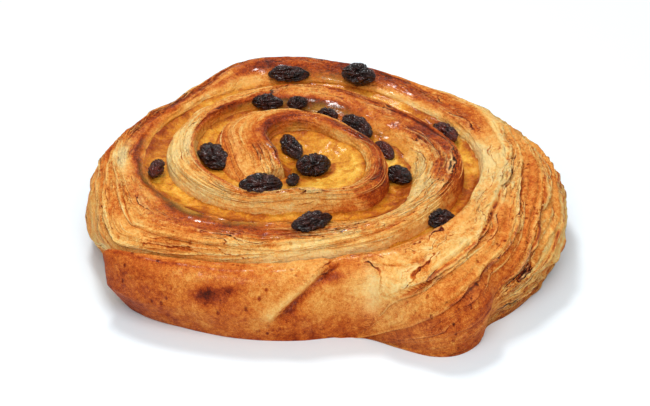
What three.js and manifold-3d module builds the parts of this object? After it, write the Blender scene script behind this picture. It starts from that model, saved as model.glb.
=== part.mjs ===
// A raisin swirl pastry: one ribbon of laminated dough rolled up into an uneven swirl and baked lying flat.
// Custard fills the seam between the turns from top to bottom, and raisins sit half sunk in it.
//
// Frame: millimetres, +Z up. The pastry rests on Z = 0, its swirl face looks up, and its front, where the
// ribbon's tail wraps round, faces -Y. The origin is the middle of its bounding box, on the base.
// The ribbon is followed by its turn angle in degrees: it runs clockwise seen from above, 0 is +X,
// 90 is the front (-Y), 180 is -X, 270 is the back (+Y), and each further turn adds 360.
import * as THREE from 'three';
import { mergeVertices } from 'three/addons/utils/BufferGeometryUtils.js';
import Module from 'manifold-3d';

// ---------------------------------------------------------------- driving dimensions

const TURN = 360; // degrees
const COMPASS_STEP = 45; // degrees between the compass points at which the swirl is sized
const EYE = { x: -4.5, y: 1.5 }; // the eye of the swirl

// Distance from the eye to the seam between two turns at each compass point: first round the pool of
// custard in the eye, then between the turns.
const SEAM_START = -225;
const SEAM_RADIUS = [
  4.8, 5, 9, 9.2, 7.5, 9.5, 12, 12.5,
  17.5, 23, 27.5, 21, 18, 20.8, 24, 19.2,
  26, 35.5, 38, 39, 37, 40, 36.6, 33.4, 44.3,
];
const SEAM_TAIL = [[870, 54.2], [884, 61]]; // where the tail's edge lifts off: [turn angle, radius]

// The ribbon's crest at each compass point: how far across the ribbon it lies, and how high.
const RIBBON_START = 135;
const CREST_SHARE = [
  0.15, 0.1, 0.28, 0.5, 0.5, 0.75, 0.7, 0.62,
  0.4, 0.4, 0.32, 0.72, 0.66, 0.86, 0.66, 0.7,
  0.58, 0.47, 0.45, 0.82, 0.32, 0.1, 0.14, 0.3, 0.3,
];
const CREST_HEIGHT = [
  27, 28.6, 29.2, 29.3, 29, 28.2, 27.4, 27.4,
  26.2, 27.5, 27, 26.2, 25.8, 26, 24.6, 22.6,
  22.8, 24, 24, 24.3, 23.6, 23.8, 21.8, 19, 18,
];

// The outer wall at its widest over the last turn, with the lump of dough at the front right near 1130,
// and how far it turns in below that: [turn angle, millimetres].
const OUTLINE = [
  [870, 53.6], [885, 53.4], [905, 54.8], [925, 52.6], [945, 50], [957, 52], [970, 57.4], [988, 55],
  [1010, 54.8], [1030, 58.8], [1050, 62.8], [1070, 64.2], [1086, 63.8], [1100, 62], [1112, 59.6],
  [1119, 58], [1126, 60.8], [1133, 60.6], [1138, 57.4], [1143, 51.3], [1149, 45], [1157, 42],
  [1172, 42.6], [1190, 45.2], [1208, 49.8], [1220, 54.2], [1230, 57],
];
const TUCK = [
  [870, 5.4], [905, 3.4], [1060, 3.2], [1110, 2.4], [1160, 1.6], [1190, 2.4], [1215, 4.6], [1230, 5.4],
];
const WALL_WIDEST = 8.5; // the height at which the wall is widest

// Exponent of the wall's curve above that: 1 is an ellipse, less is squarer, more is flatter.
const WALL_CURVE = [[960, 0.85], [1015, 1.15], [1055, 1.05], [1080, 0.85]];

// Height of the seam's floor, where the custard comes up to: [turn angle, millimetres].
const LEVEL = [
  [-225, 24.8], [0, 24.8], [360, 22.4], [720, 20.2], [765, 19.4], [810, 18], [855, 17.2], [884, 16.6],
];

const RIBBON_TIP = 139; // turn angle at which the ribbon starts
const TIP = { length: 12, fullness: 0.84 }; // degrees over which that end rounds off, and what is left there
const TAIL_END = 1230; // turn angle at which the ribbon stops
const TAIL = { length: 4, fullness: 0.3 }; // and the same there, as a share of the ribbon's thickness
const END_HEIGHT = 0.9; // share of its height that is left where it has no thickness
const WALL_BLEND = 22; // degrees over which a covered flank opens into the outer wall
const LEAN = { from: 815, to: 870, by: 6 }; // the seam's foot slants inwards where the tail ends

const CUSTARD_THICKNESS = 1.8; // of the layer rolled up in the dough
const CUSTARD_END = 796; // turn angle at which the layer has been pressed out
const CUSTARD_FADE = 56; // degrees over which it thins to that
const CUSTARD_BASE = 0.5; // its lower edge, just off the tray
const POOL_DISH = 0.8; // how far the pool sinks in the middle
const HALFWAY = { out: 0.5, down: 0.7 }; // where its dish bends: share of the way out, and of that depth
const POOL_START = -231; // turn angles between which the seam rings the pool
const POOL_SPLIT = -40;
const POOL_END = 135;
const CUSTARD_STOP = 776; // turn angle at which the layer's solid ends

// Where the custard climbs onto the next turn: its width, at most a share of that turn's inner slope, its
// rise and depth, and the bend halfway along it as a share of the rise.
const FLARE = { width: 3.2, share: 0.6, rise: 0.9, depth: 4.5, bend: 0.4 };
const CLEARANCE = 0.32; // between neighbouring solids
const FLARE_EASE = 0.12; // what the flare's thin edge keeps back besides
const PRESSED_GAP = 0.5; // between two turns without custard

const FOOT_CHAMFER = 0.8; // at a covered flank's foot
const SECTION = { base: 2, foot: 4, wall: 16, slope: 6, flank: 2 }; // points in each stretch
const SPACING = 5.6; // along the ribbon, between sections
const MAX_STEP = 10; // degrees between sections, at most

// The flaky right-hand wall: sheets of dough that overlap like tiles and sink towards the front.
const FLAKES = { from: 1000, to: 1150, fade: 26, sheets: 4, lift: 1.7, sink: 1.1 };

// Slanting folds pressed into the front wall: turn angle and share of the way down at each end, half
// width in degrees, how softly the ends run out as a share of the wall, and depth in mm.
const FOLDS = [
  { from: [1162, 0.35], to: [1180, 0.9], width: 4.5, fade: 0.2, depth: 1.5 },
  { from: [1147, 0.3], to: [1153, 0.75], width: 3.5, fade: 0.2, depth: 1.2 },
];

// The raisins: where each one's middle lies, its length, width and thickness, the way its length points
// (degrees anticlockwise from +X) and how far its far end dips (degrees).
const RAISINS = [
  { at: [-9.5, 45.2, 24.2], size: [10.4, 6.4, 4.6], yaw: 0, dip: 0 },
  { at: [8.6, 43.6, 25], size: [8.8, 8, 6], yaw: -20, dip: 0 },
  { at: [-14.8, 28.6, 25.6], size: [8, 5.8, 4.2], yaw: -8, dip: 0 },
  { at: [-7.1, 28, 25.8], size: [5.2, 4.4, 3.8], yaw: 15, dip: 0 },
  { at: [0.6, 24.2, 24.6], size: [5.4, 4.2, 3.6], yaw: -20, dip: 0 },
  { at: [8.1, 17.6, 25], size: [10, 6, 5], yaw: -50, dip: 6 },
  { at: [14.6, 8.6, 23.4], size: [7.4, 4.6, 4], yaw: -56, dip: 4 },
  { at: [18, -3.4, 24], size: [7, 5.8, 4.8], yaw: -40, dip: 0 },
  { at: [30.2, 18.6, 22.6], size: [8.4, 5.8, 4.8], yaw: -52, dip: 0 },
  { at: [-41.4, 0, 23.7], size: [7.2, 4.2, 4], yaw: 78, dip: 0 },
  { at: [-27.6, 3.4, 25.1], size: [11.2, 7.6, 5.8], yaw: -62, dip: 0 },
  { at: [-15.6, -11.2, 26], size: [10.2, 8, 5.4], yaw: 2, dip: 0 },
  { at: [-8.2, 6.4, 26], size: [9.8, 5.2, 4.8], yaw: -68, dip: 4 },
  { at: [-2.9, -2, 25.9], size: [8.4, 7.4, 5.6], yaw: 10, dip: 0 },
  { at: [-7.9, -7.6, 25.2], size: [4.2, 3.2, 3], yaw: 60, dip: 0 },
  { at: [-3.2, -23.9, 23.9], size: [10.2, 5.8, 4.8], yaw: 24, dip: 0 },
  { at: [27.6, -18.8, 21.3], size: [7.2, 6, 4.8], yaw: 8, dip: 0 },
];
const RAISIN_MESH = { around: 12, along: 6 }; // facets of a raisin
const RAISIN_FOLDS = { count: 4, depth: 0.13 }; // the furrows along it, as a share of its radius

const COLOURS = { dough: '#d79648', custard: '#e0ad3a', raisin: '#2b1518' };

// ---------------------------------------------------------------- curves along the ribbon

const { clamp, lerp, smoothstep, degToRad } = THREE.MathUtils;

// A smooth curve through [angle, value] knots.
function through(knots) {
  const curve = new THREE.CubicInterpolant(knots.map((k) => k[0]), knots.map((k) => k[1]), 1);
  return (t) => curve.evaluate(t)[0];
}

// Knots at every compass point from a first angle on.
function compass(start, values) {
  return values.map((value, i) => [start + i * COMPASS_STEP, value]);
}

const seamRadius = through([...compass(SEAM_START, SEAM_RADIUS), ...SEAM_TAIL]);
const crestShare = through(compass(RIBBON_START, CREST_SHARE));
const crestHeight = through(compass(RIBBON_START, CREST_HEIGHT));
const outlineRadius = through(OUTLINE);
const tuck = through(TUCK);
const wallCurve = through(WALL_CURVE);
const level = through(LEVEL);

const SEAM_END = TAIL_END - TURN; // where the tail's edge lies against the turn inside it

// How much of the custard layer is left at a turn angle, from 1 to 0.
const custardShare = (t) => 1 - smoothstep(t, CUSTARD_END - CUSTARD_FADE, CUSTARD_END);

// From the seam's middle line to the dough on either side.
const halfSeam = (t) => lerp(PRESSED_GAP / 2, CUSTARD_THICKNESS / 2 + CLEARANCE, custardShare(t));

// How far the seam leans in towards the eye at a height.
function lean(t, z) {
  return LEAN.by * smoothstep(t, LEAN.from, LEAN.to) * clamp(1 - z / level(t), 0, 1);
}

// The inner and outer edge and the crest of the ribbon, seen from above.
function ribbonAcross(t) {
  const inner = seamRadius(t - TURN) + halfSeam(t - TURN);
  const outer = t < SEAM_END ? seamRadius(t) - halfSeam(t) : outlineRadius(t);
  return { inner, outer, crest: lerp(inner, outer, crestShare(t)) };
}

// How far the custard of the seam at t climbs onto the turn outside it.
function flareWidth(t) {
  const { inner, crest } = ribbonAcross(t + TURN);
  return custardShare(t) * Math.min(FLARE.width, FLARE.share * (crest - inner));
}

// A point at a turn angle, a distance from the eye and a height.
function place(t, [radius, z]) {
  const a = degToRad(t);
  return new THREE.Vector3(EYE.x + radius * Math.cos(a), EYE.y - radius * Math.sin(a), z);
}

// Turn angles from one to another, a section's spacing apart at the radius that a function gives.
function stations(from, to, radius) {
  const list = [];
  for (let t = from; t < to; t += Math.min(MAX_STEP, THREE.MathUtils.radToDeg(SPACING / radius(t)))) {
    list.push(t);
  }
  list[list.length - 1] = lerp(list[list.length - 2], to, 0.5);
  return [...list, to];
}

// ---------------------------------------------------------------- relief

// The overlapping sheets of the flaky wall: each rises towards its lower edge, then steps in to the
// next. Returns how far the surface stands out, at a share of the way down from the crest.
function flakeLift(t, down) {
  const { from, to, fade, sheets, lift, sink } = FLAKES;
  const here = smoothstep(t, from, from + fade) * (1 - smoothstep(t, to - fade, to));
  const phase = sheets * (down - sink * (t - from) / (to - from));
  const saw = THREE.MathUtils.euclideanModulo(phase, 1);
  return here * lift * (saw - 0.5) * Math.sin(Math.PI * down);
}

// The folds pressed into the front wall.
function foldDepth(t, down) {
  let depth = 0;
  for (const fold of FOLDS) {
    const along = clamp((down - fold.from[1]) / (fold.to[1] - fold.from[1]), 0, 1);
    const off = (t - lerp(fold.from[0], fold.to[0], along)) / fold.width;
    const past = (down - lerp(fold.from[1], fold.to[1], along)) / fold.fade;
    depth += fold.depth * Math.exp(-off * off - past * past);
  }
  return depth;
}

// ---------------------------------------------------------------- the dough

// The dough's section at a turn angle, as [radius, height] points: out along the base, up the outer
// side, over the crest and down the inner side.
function doughSection(t) {
  const { inner, outer, crest } = ribbonAcross(t);
  const top = crestHeight(t);
  const wall = smoothstep(t, SEAM_END, SEAM_END + WALL_BLEND);
  const knee = lerp(level(Math.min(t, SEAM_END)), WALL_WIDEST, wall);
  const turnIn = lerp(FOOT_CHAMFER + lean(t, 0), tuck(t), wall);
  const innerLean = (z) => lean(t - TURN, z);
  const points = [];

  const innerFoot = inner - innerLean(0) + FOOT_CHAMFER;
  for (let i = 0; i < SECTION.base; i++) {
    points.push([lerp(innerFoot, outer - turnIn, i / SECTION.base), 0]);
  }
  for (let i = 0; i < SECTION.foot; i++) {
    const up = i / SECTION.foot;
    const shut = [outer - (i ? lean(t, up * knee) : turnIn), knee * up];
    const open = [outer - turnIn * Math.cos(up * Math.PI / 2), knee * (1 - Math.cos(up * Math.PI / 2))];
    points.push([lerp(shut[0], open[0], wall), lerp(shut[1], open[1], wall)]);
  }
  for (let i = 0; i < SECTION.wall; i++) {
    const down = 1 - i / SECTION.wall;
    const across = Math.sin(down * Math.PI / 2);
    const up = Math.cos(down * Math.PI / 2);
    const relief = wall * (flakeLift(t, down) - foldDepth(t, down));
    points.push([
      lerp(crest, outer, across ** wallCurve(t)) + relief * across,
      lerp(knee, top, up ** wallCurve(t)) + relief * up,
    ]);
  }
  const flare = flareWidth(t - TURN);
  const lip = level(t - TURN) + FLARE.rise * custardShare(t - TURN);
  for (let i = 0; i <= SECTION.slope; i++) {
    const a = (1 - i / SECTION.slope) * Math.PI / 2;
    points.push([lerp(inner + flare, crest, 1 - Math.cos(a)), lerp(lip, top, Math.sin(a))]);
  }
  for (let i = 0; i < SECTION.flank; i++) {
    const z = lerp(level(t - TURN) - FLARE.depth, FOOT_CHAMFER, i / (SECTION.flank - 1));
    points.push([inner - innerLean(z), z]);
  }
  return points;
}

// The same section, drawn in towards its core near either end of the ribbon so that the ends are round.
function roundedSection(t) {
  const fromTip = clamp((t - RIBBON_TIP) / TIP.length, 0, 1);
  const fromTail = clamp((TAIL_END - t) / TAIL.length, 0, 1);
  const rounded = (fullness, u) => lerp(fullness, 1, Math.sqrt(1 - (1 - u) ** 2));
  const full = rounded(TIP.fullness, fromTip) * rounded(TAIL.fullness, fromTail);
  const { inner, outer } = ribbonAcross(t);
  return doughSection(t).map(([r, z]) => {
    const middle = (inner + outer) / 2 - lean(t - TURN, z);
    return [lerp(middle, r, full), z * lerp(END_HEIGHT, 1, full)];
  });
}

// A closed solid through sections with equal numbers of points, each laid at its turn angle.
function loft(angles, section) {
  const rings = angles.map((t) => section(t));
  const count = rings[0].length;
  const vertices = rings.flatMap((ring, i) => ring.map((point) => place(angles[i], point)));
  const faces = [];
  for (let i = 0; i + 1 < rings.length; i++) {
    for (let j = 0; j < count; j++) {
      const a = i * count + j;
      const b = i * count + (j + 1) % count;
      faces.push([a, b, a + count], [b, b + count, a + count]);
    }
  }
  const last = (rings.length - 1) * count;
  cap(rings[0]).forEach(([a, b, c]) => faces.push([a, c, b]));
  cap(rings[rings.length - 1]).forEach(([a, b, c]) => faces.push([last + a, last + b, last + c]));
  return closedGeometry(vertices, faces);
}

// Triangles that fill a section, all wound the way its points run. They come out wound alike, so the
// areas of all of them together say whether to turn them.
function cap(ring) {
  const points = ring.map(([r, z]) => new THREE.Vector2(r, z));
  const triangles = THREE.ShapeUtils.triangulateShape(points, []);
  const areas = triangles.map((corners) => THREE.ShapeUtils.area(corners.map((i) => points[i])));
  const alike = areas.reduce((sum, area) => sum + area, 0) * THREE.ShapeUtils.area(points) > 0;
  return alike ? triangles : triangles.map(([a, b, c]) => [a, c, b]);
}

function closedGeometry(vertices, faces) {
  const geometry = new THREE.BufferGeometry().setFromPoints(vertices);
  geometry.setIndex(faces.flat());
  return mergeVertices(geometry, 1e-4);
}

function doughGeometry() {
  const middle = (t) => (ribbonAcross(t).inner + ribbonAcross(t).outer) / 2;
  return loft(stations(RIBBON_TIP, TAIL_END, middle), roundedSection);
}

// ---------------------------------------------------------------- the custard

// The layer's section: from the tray up to the floor of the seam, where it flares outwards.
function custardSection(t) {
  const half = halfSeam(t) - CLEARANCE;
  const seam = seamRadius(t);
  const floor = level(t);
  const edge = floor + FLARE.rise * custardShare(t);
  return [
    [seam - half, CUSTARD_BASE],
    [seam + half, CUSTARD_BASE],
    [seam + half, floor - FLARE.depth],
    [seam + half + flareWidth(t) - FLARE_EASE, edge],
    [seam + half + flareWidth(t) / 2, lerp(floor, edge, FLARE.bend)],
    [seam - half, floor],
  ];
}

// The pool's section, from the axis through the eye out to its rim: a plug with a dished top.
function poolSection(t) {
  const half = halfSeam(t) - CLEARANCE;
  const rim = seamRadius(t) + half;
  return [
    [0, CUSTARD_BASE],
    [rim, CUSTARD_BASE],
    [rim, level(t) - FLARE.depth],
    [rim + flareWidth(t) - FLARE_EASE, level(t) + FLARE.rise],
    [rim, level(t)],
    [rim * HALFWAY.out, level(t) - POOL_DISH * HALFWAY.down],
    [0, level(0) - POOL_DISH],
  ];
}

// ---------------------------------------------------------------- the raisins

// A wrinkled bean: a sphere with furrows along it, scaled to size, grown by a margin.
function raisinGeometry({ at, size, yaw, dip }, index, margin = 0) {
  const geometry = new THREE.SphereGeometry(1, RAISIN_MESH.around, RAISIN_MESH.along);
  geometry.deleteAttribute('normal');
  geometry.deleteAttribute('uv');
  geometry.rotateZ(-Math.PI / 2); // the poles along X
  const p = new THREE.Vector3();
  for (let i = 0; i < geometry.attributes.position.count; i++) {
    p.fromBufferAttribute(geometry.attributes.position, i);
    const around = Math.atan2(p.z, p.y);
    const girth = Math.hypot(p.y, p.z);
    const furrow = Math.cos(RAISIN_FOLDS.count * around + 2 * index + 1.5 * p.x);
    p.multiplyScalar(1 - RAISIN_FOLDS.depth * girth * (0.5 + 0.5 * furrow));
    p.multiply(new THREE.Vector3(...size).multiplyScalar(0.5).addScalar(margin));
    geometry.attributes.position.setXYZ(i, p.x, p.y, p.z);
  }
  geometry.rotateY(degToRad(dip));
  geometry.rotateZ(degToRad(yaw));
  geometry.translate(...at);
  return mergeVertices(geometry, 1e-4);
}

// ---------------------------------------------------------------- solids

const wasm = await Module();
wasm.setup();

function solid(geometry) {
  return new wasm.Manifold(new wasm.Mesh({
    numProp: 3,
    vertProperties: new Float32Array(geometry.attributes.position.array),
    triVerts: new Uint32Array(geometry.index.array),
  }));
}

// The largest of a solid's separate pieces: a cut may leave a crumb.
function largest(body) {
  return body.decompose().reduce((best, piece) => (piece.volume() > best.volume() ? piece : best));
}

function named(name, body, { color, roughness }) {
  const { vertProperties, triVerts } = body.getMesh();
  const geometry = new THREE.BufferGeometry();
  geometry.setAttribute('position', new THREE.BufferAttribute(new Float32Array(vertProperties), 3));
  geometry.setIndex(new THREE.BufferAttribute(new Uint32Array(triVerts), 1));
  geometry.computeVertexNormals();
  const mesh = new THREE.Mesh(geometry, new THREE.MeshStandardMaterial({ color, roughness, metalness: 0 }));
  mesh.name = name;
  return mesh;
}

// The grown raisins, which hollow out the dough and the custard that they sit in.
const pockets = RAISINS
  .map((raisin, i) => solid(raisinGeometry(raisin, i, CLEARANCE)))
  .reduce((all, pocket) => all.add(pocket));

function doughSolid() {
  return largest(solid(doughGeometry()).subtract(pockets));
}

// The pool is a fan round the eye, in two overlapping halves, and the layer winds out from it.
function custardSolid() {
  const near = solid(loft(stations(POOL_START, POOL_SPLIT, () => SEAM_RADIUS[0]), poolSection));
  const far = solid(loft(stations(POOL_SPLIT - MAX_STEP, POOL_END, () => SEAM_RADIUS[0]), poolSection));
  const layer = solid(loft(stations(POOL_END - MAX_STEP, CUSTARD_STOP, seamRadius), custardSection));
  return largest(near.add(far).add(layer).subtract(pockets));
}

// ---------------------------------------------------------------- the pastry

const pastry = new THREE.Group();
pastry.add(named('dough', doughSolid(), { color: COLOURS.dough, roughness: 0.5 }));
pastry.add(named('custard', custardSolid(), { color: COLOURS.custard, roughness: 0.3 }));
RAISINS.forEach((raisin, i) => {
  const name = `raisin_${String(i + 1).padStart(2, '0')}`;
  pastry.add(named(name, solid(raisinGeometry(raisin, i)), { color: COLOURS.raisin, roughness: 0.4 }));
});

// Stand it on the base, with the middle of its bounding box over the origin.
const bounds = new THREE.Box3().setFromObject(pastry);
const centre = bounds.getCenter(new THREE.Vector3());
pastry.position.set(-centre.x, -centre.y, -bounds.min.z);
pastry.updateMatrixWorld(true);

export default pastry;
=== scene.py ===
"""The looks of a raisin swirl pastry: a ribbon of laminated dough, custard in its seam, and raisins."""
import logging
import math
from dataclasses import dataclass, field
from enum import Enum

import bmesh
import bpy
import numpy as np
from mathutils import Euler, Matrix, Vector


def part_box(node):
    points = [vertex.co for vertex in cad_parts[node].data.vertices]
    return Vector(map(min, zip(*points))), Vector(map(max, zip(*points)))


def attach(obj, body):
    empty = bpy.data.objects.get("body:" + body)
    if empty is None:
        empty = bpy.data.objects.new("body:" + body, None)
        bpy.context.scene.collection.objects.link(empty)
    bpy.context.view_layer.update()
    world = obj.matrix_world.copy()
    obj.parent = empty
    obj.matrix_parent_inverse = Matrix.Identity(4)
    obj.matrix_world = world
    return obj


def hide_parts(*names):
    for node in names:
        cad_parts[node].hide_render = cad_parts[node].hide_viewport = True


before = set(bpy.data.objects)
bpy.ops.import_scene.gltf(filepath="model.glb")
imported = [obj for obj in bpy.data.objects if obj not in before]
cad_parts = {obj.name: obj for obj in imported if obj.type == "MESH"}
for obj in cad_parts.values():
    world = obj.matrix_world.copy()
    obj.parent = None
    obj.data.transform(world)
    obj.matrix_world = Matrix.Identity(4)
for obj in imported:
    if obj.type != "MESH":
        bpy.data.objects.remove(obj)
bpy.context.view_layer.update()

LOG = logging.getLogger("pastry")
MM = 0.001
TURN = 360.0
HASH = (127.1, 311.7, 74.7, 43758.5453)  # turn a lattice corner's place and a seed into a value
OCTAVE_SUM = 1.6  # about how far octaves of noise reach when they are added up
WELD = 1e-7  # metres within which points are one
TINY = 1e-9  # keeps a division from nought

Array = np.ndarray
Span = tuple[float, float]
Knots = tuple[Span, ...]


# ------------------------------------------------------------------------------------- numbers


def lerp(low: Array, high: Array, share: Array) -> Array:
    """Go a share of the way from one value to another."""
    return low + (high - low) * share


def ease(value: Array, start: float, end: float) -> Array:
    """Rise smoothly from 0 at start to 1 at end."""
    share = np.clip((value - start) / (end - start), 0.0, 1.0)
    return share * share * (3.0 - 2.0 * share)


def bump(value: Array, middle: Array, width: Array) -> Array:
    """Rise to 1 at the middle and fall to nothing a few widths away."""
    return np.exp(-(((value - middle) / width) ** 2))


def noise(x: Array, y: Array, seed: int) -> Array:
    """Make smooth noise.

    Args:
        x: First coordinate, one cell of the noise per unit.
        y: Second coordinate.
        seed: Picks the pattern.

    Returns:
        Values from -1 to 1.
    """
    x, y = np.broadcast_arrays(np.asarray(x, float), np.asarray(y, float))
    left, low = np.floor(x), np.floor(y)
    u, v = x - left, y - low
    u, v = u * u * (3 - 2 * u), v * v * (3 - 2 * v)

    def corner(i: Array, j: Array) -> Array:
        """Give a lattice corner its own value."""
        wave = np.sin(i * HASH[0] + j * HASH[1] + seed * HASH[2]) * HASH[3]
        return 2.0 * (wave - np.floor(wave)) - 1.0

    below = lerp(corner(left, low), corner(left + 1, low), u)
    above = lerp(corner(left, low + 1), corner(left + 1, low + 1), u)
    return lerp(below, above, v)


def rough(x: Array, y: Array, seed: int, octaves: int = 3) -> Array:
    """Add up octaves of noise, each twice as fine and half as strong."""
    return sum(noise(x * 2**k, y * 2**k, seed + k) / 2**k for k in range(octaves)) / OCTAVE_SUM


def crease(x: Array, y: Array, seed: int, width: float) -> Array:
    """Draw thin lines where noise crosses nought: 1 on a line, 0 away from it."""
    return np.exp(-((noise(x, y, seed) / width) ** 2))


@dataclass(frozen=True)
class Grain:
    """A layer of noise: its height, the length and width of its grains, its seed and its octaves.

    With one octave it is plain noise.
    """

    height: float
    length: float
    width: float
    seed: int
    octaves: int = 3

    def over(self, along: Array, across: Array) -> Array:
        """Give the layer's height at distances along the grains and across them.

        Args:
            along: Distances in the unit of the grains' length.
            across: Distances in the unit of their width.

        Returns:
            The height at each place.
        """
        x, y = along / self.length, across / self.width
        if self.octaves == 1:
            return self.height * noise(x, y, self.seed)
        return self.height * rough(x, y, self.seed, self.octaves)


@dataclass(frozen=True)
class Cracks:
    """Thin cracks along the layers: their depth, length and spacing, seed, and width in shares of it."""

    depth: float
    length: float
    spacing: float
    seed: int
    width: float

    def over(self, along: Array, across: Array) -> Array:
        """Give the cracks' height, which is nought or less, at distances along and across them."""
        return -self.depth * crease(along / self.length, across / self.spacing, self.seed, self.width)


@dataclass(frozen=True)
class Stretch:
    """A stretch over which something holds: where it sets in, and where it ends."""

    rise: Span
    fall: Span

    def __call__(self, value: Array) -> Array:
        """Say how much of it there is, from 0 to 1."""
        return ease(value, *self.rise) * ease(value, self.fall[1], self.fall[0])


@dataclass(frozen=True)
class Curve:
    """A smooth curve through knots of (turn angle, value)."""

    knots: Knots

    @classmethod
    def compass(cls, start: float, values: tuple[float, ...], step: float = 45.0) -> "Curve":
        """Put one knot at each compass point from a first turn angle on."""
        return cls(tuple((start + step * i, value) for i, value in enumerate(values)))

    def __call__(self, turn: Array) -> Array:
        """Read the curve, which stays level past its ends.

        Args:
            turn: Turn angles.

        Returns:
            The curve's value at each of them.
        """
        at, value = (np.array(column, float) for column in zip(*self.knots))
        chord = np.diff(value) / np.diff(at)
        slope = np.concatenate([chord[:1], (chord[1:] + chord[:-1]) / 2, chord[-1:]])
        turn = np.clip(np.asarray(turn, float), at[0], at[-1])
        i = np.clip(np.searchsorted(at, turn, side="right") - 1, 0, len(at) - 2)
        step = at[i + 1] - at[i]
        u = (turn - at[i]) / step
        start = (2 * u**3 - 3 * u**2 + 1) * value[i] + (u**3 - 2 * u**2 + u) * step * slope[i]
        return start + (3 * u**2 - 2 * u**3) * value[i + 1] + (u**3 - u**2) * step * slope[i + 1]


# ------------------------------------------------------------------------------------- the swirl


@dataclass(frozen=True)
class Swirl:
    """The plan and heights of the swirl, in millimetres, by turn angle in degrees.

    The turn angle runs clockwise seen from above: 0 is +X, 90 the front, 180 is -X, 270 the back.
    """

    eye: tuple[float, float] = (-4.5, 1.5)
    seam_radius: Curve = Curve(
        Curve.compass(
            -225,
            (4.8, 5, 9, 9.2, 7.5, 9.5, 12, 12.5)
            + (17.5, 23, 27.5, 21, 18, 20.8, 24, 19.2)
            + (26, 35.5, 38, 39, 37, 40, 36.6, 33.4, 44.3),
        ).knots
        + ((870, 54.2), (884, 61))
    )
    crest_share: Curve = Curve.compass(
        135,
        (0.15, 0.1, 0.28, 0.5, 0.5, 0.75, 0.7, 0.62)
        + (0.4, 0.4, 0.32, 0.72, 0.66, 0.86, 0.66, 0.7)
        + (0.58, 0.47, 0.45, 0.82, 0.32, 0.1, 0.14, 0.3, 0.3),
    )
    crest_height: Curve = Curve.compass(
        135,
        (27, 28.6, 29.2, 29.3, 29, 28.2, 27.4, 27.4)
        + (26.2, 27.5, 27, 26.2, 25.8, 26, 24.6, 22.6)
        + (22.8, 24, 24, 24.3, 23.6, 23.8, 21.8, 19, 18),
    )
    outline: Curve = Curve(
        ((870, 53.6), (885, 53.4), (905, 54.8), (925, 52.6), (945, 50), (957, 52), (970, 57.4))
        + ((988, 55), (1010, 54.8), (1030, 58.8), (1050, 62.8), (1070, 64.2), (1086, 63.8), (1100, 62))
        + ((1112, 59.6), (1119, 58), (1126, 60.8), (1133, 60.6), (1138, 57.4), (1143, 51.3))
        + ((1149, 45), (1157, 42), (1172, 42.6), (1190, 45.2), (1208, 49.8), (1220, 54.2), (1230, 57))
    )
    tuck: Curve = Curve(
        ((870, 5.4), (905, 3.4), (1060, 3.2), (1110, 2.4), (1160, 1.6), (1190, 2.4), (1215, 4.6))
        + ((1230, 5.4),)
    )
    squareness: Curve = Curve(((960, 0.85), (1015, 1.15), (1055, 1.05), (1080, 0.85)))
    level: Curve = Curve(
        ((-225, 24.8), (0, 24.8), (360, 22.4), (720, 20.2), (765, 19.4), (810, 18), (855, 17.2))
        + ((884, 16.6),)
    )
    tip: float = 139.0  # turn angle at which the ribbon starts
    tail: float = 1230.0  # and at which it stops
    widest: float = 8.5  # height at which the outer wall is widest
    wall_blend: float = 22.0  # degrees over which a covered flank opens into the outer wall
    lean_by: float = 6.0  # how far the seam's foot slants inwards near the tail
    lean_over: Span = (815.0, 870.0)  # the turn angles over which it comes to slant
    custard_half: float = 0.9  # half the thickness of the custard layer
    custard_end: float = 796.0  # turn angle at which the layer has been pressed out
    custard_fade: float = 56.0  # degrees over which it thins to that
    clearance: float = 0.32  # between neighbouring pieces
    pressed_gap: float = 0.5  # between two turns without custard
    flare_width: float = 3.2  # how far the custard climbs onto the turn outside it
    flare_share: float = 0.6  # which is at most this share of that turn's inner slope
    flare_rise: float = 0.9
    flare_depth: float = 4.5

    @property
    def seam_end(self) -> float:
        """Where the tail's edge lies against the turn inside it."""
        return self.tail - TURN

    def wall_share(self, turn: Array) -> Array:
        """Say how far a covered flank has opened into the outer wall, from 0 to 1."""
        return ease(turn, self.seam_end, self.seam_end + self.wall_blend)
    def custard_share(self, turn: Array) -> Array:
        """Say how much of the custard layer is left, from 1 to 0."""
        return 1.0 - ease(turn, self.custard_end - self.custard_fade, self.custard_end)

    def half_seam(self, turn: Array) -> Array:
        """Measure from the seam's middle line to the dough."""
        return lerp(self.pressed_gap / 2, self.custard_half + self.clearance, self.custard_share(turn))

    def lean(self, turn: Array, z: Array) -> Array:
        """Measure how far the seam leans in towards the eye at a height."""
        return self.lean_by * ease(turn, *self.lean_over) * np.clip(1 - z / self.level(turn), 0, 1)

    def across(self, turn: Array) -> tuple[Array, Array, Array]:
        """Measure the ribbon across.

        Args:
            turn: Turn angles.

        Returns:
            The radii of its inner edge, crest and outer edge.
        """
        inner = self.seam_radius(turn - TURN) + self.half_seam(turn - TURN)
        covered = self.seam_radius(turn) - self.half_seam(turn)
        outer = np.where(turn < self.seam_end, covered, self.outline(turn))
        return inner, lerp(inner, outer, self.crest_share(turn)), outer

    def flare(self, turn: Array) -> Array:
        """Measure how far the custard of a seam climbs onto the turn outside it."""
        inner, crest, _ = self.across(turn + TURN)
        return self.custard_share(turn) * np.minimum(self.flare_width, self.flare_share * (crest - inner))

    def place(self, turn: Array, radius: Array, z: Array) -> Array:
        """Place points on the swirl.

        Args:
            turn: Turn angles.
            radius: Distances from the eye.
            z: Heights.

        Returns:
            The points, in millimetres.
        """
        angle = np.radians(turn)
        x = self.eye[0] + radius * np.cos(angle)
        y = self.eye[1] - radius * np.sin(angle)
        return np.stack(np.broadcast_arrays(x, y, z), axis=-1)


# ------------------------------------------------------------------------------------- mesh helpers


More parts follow.
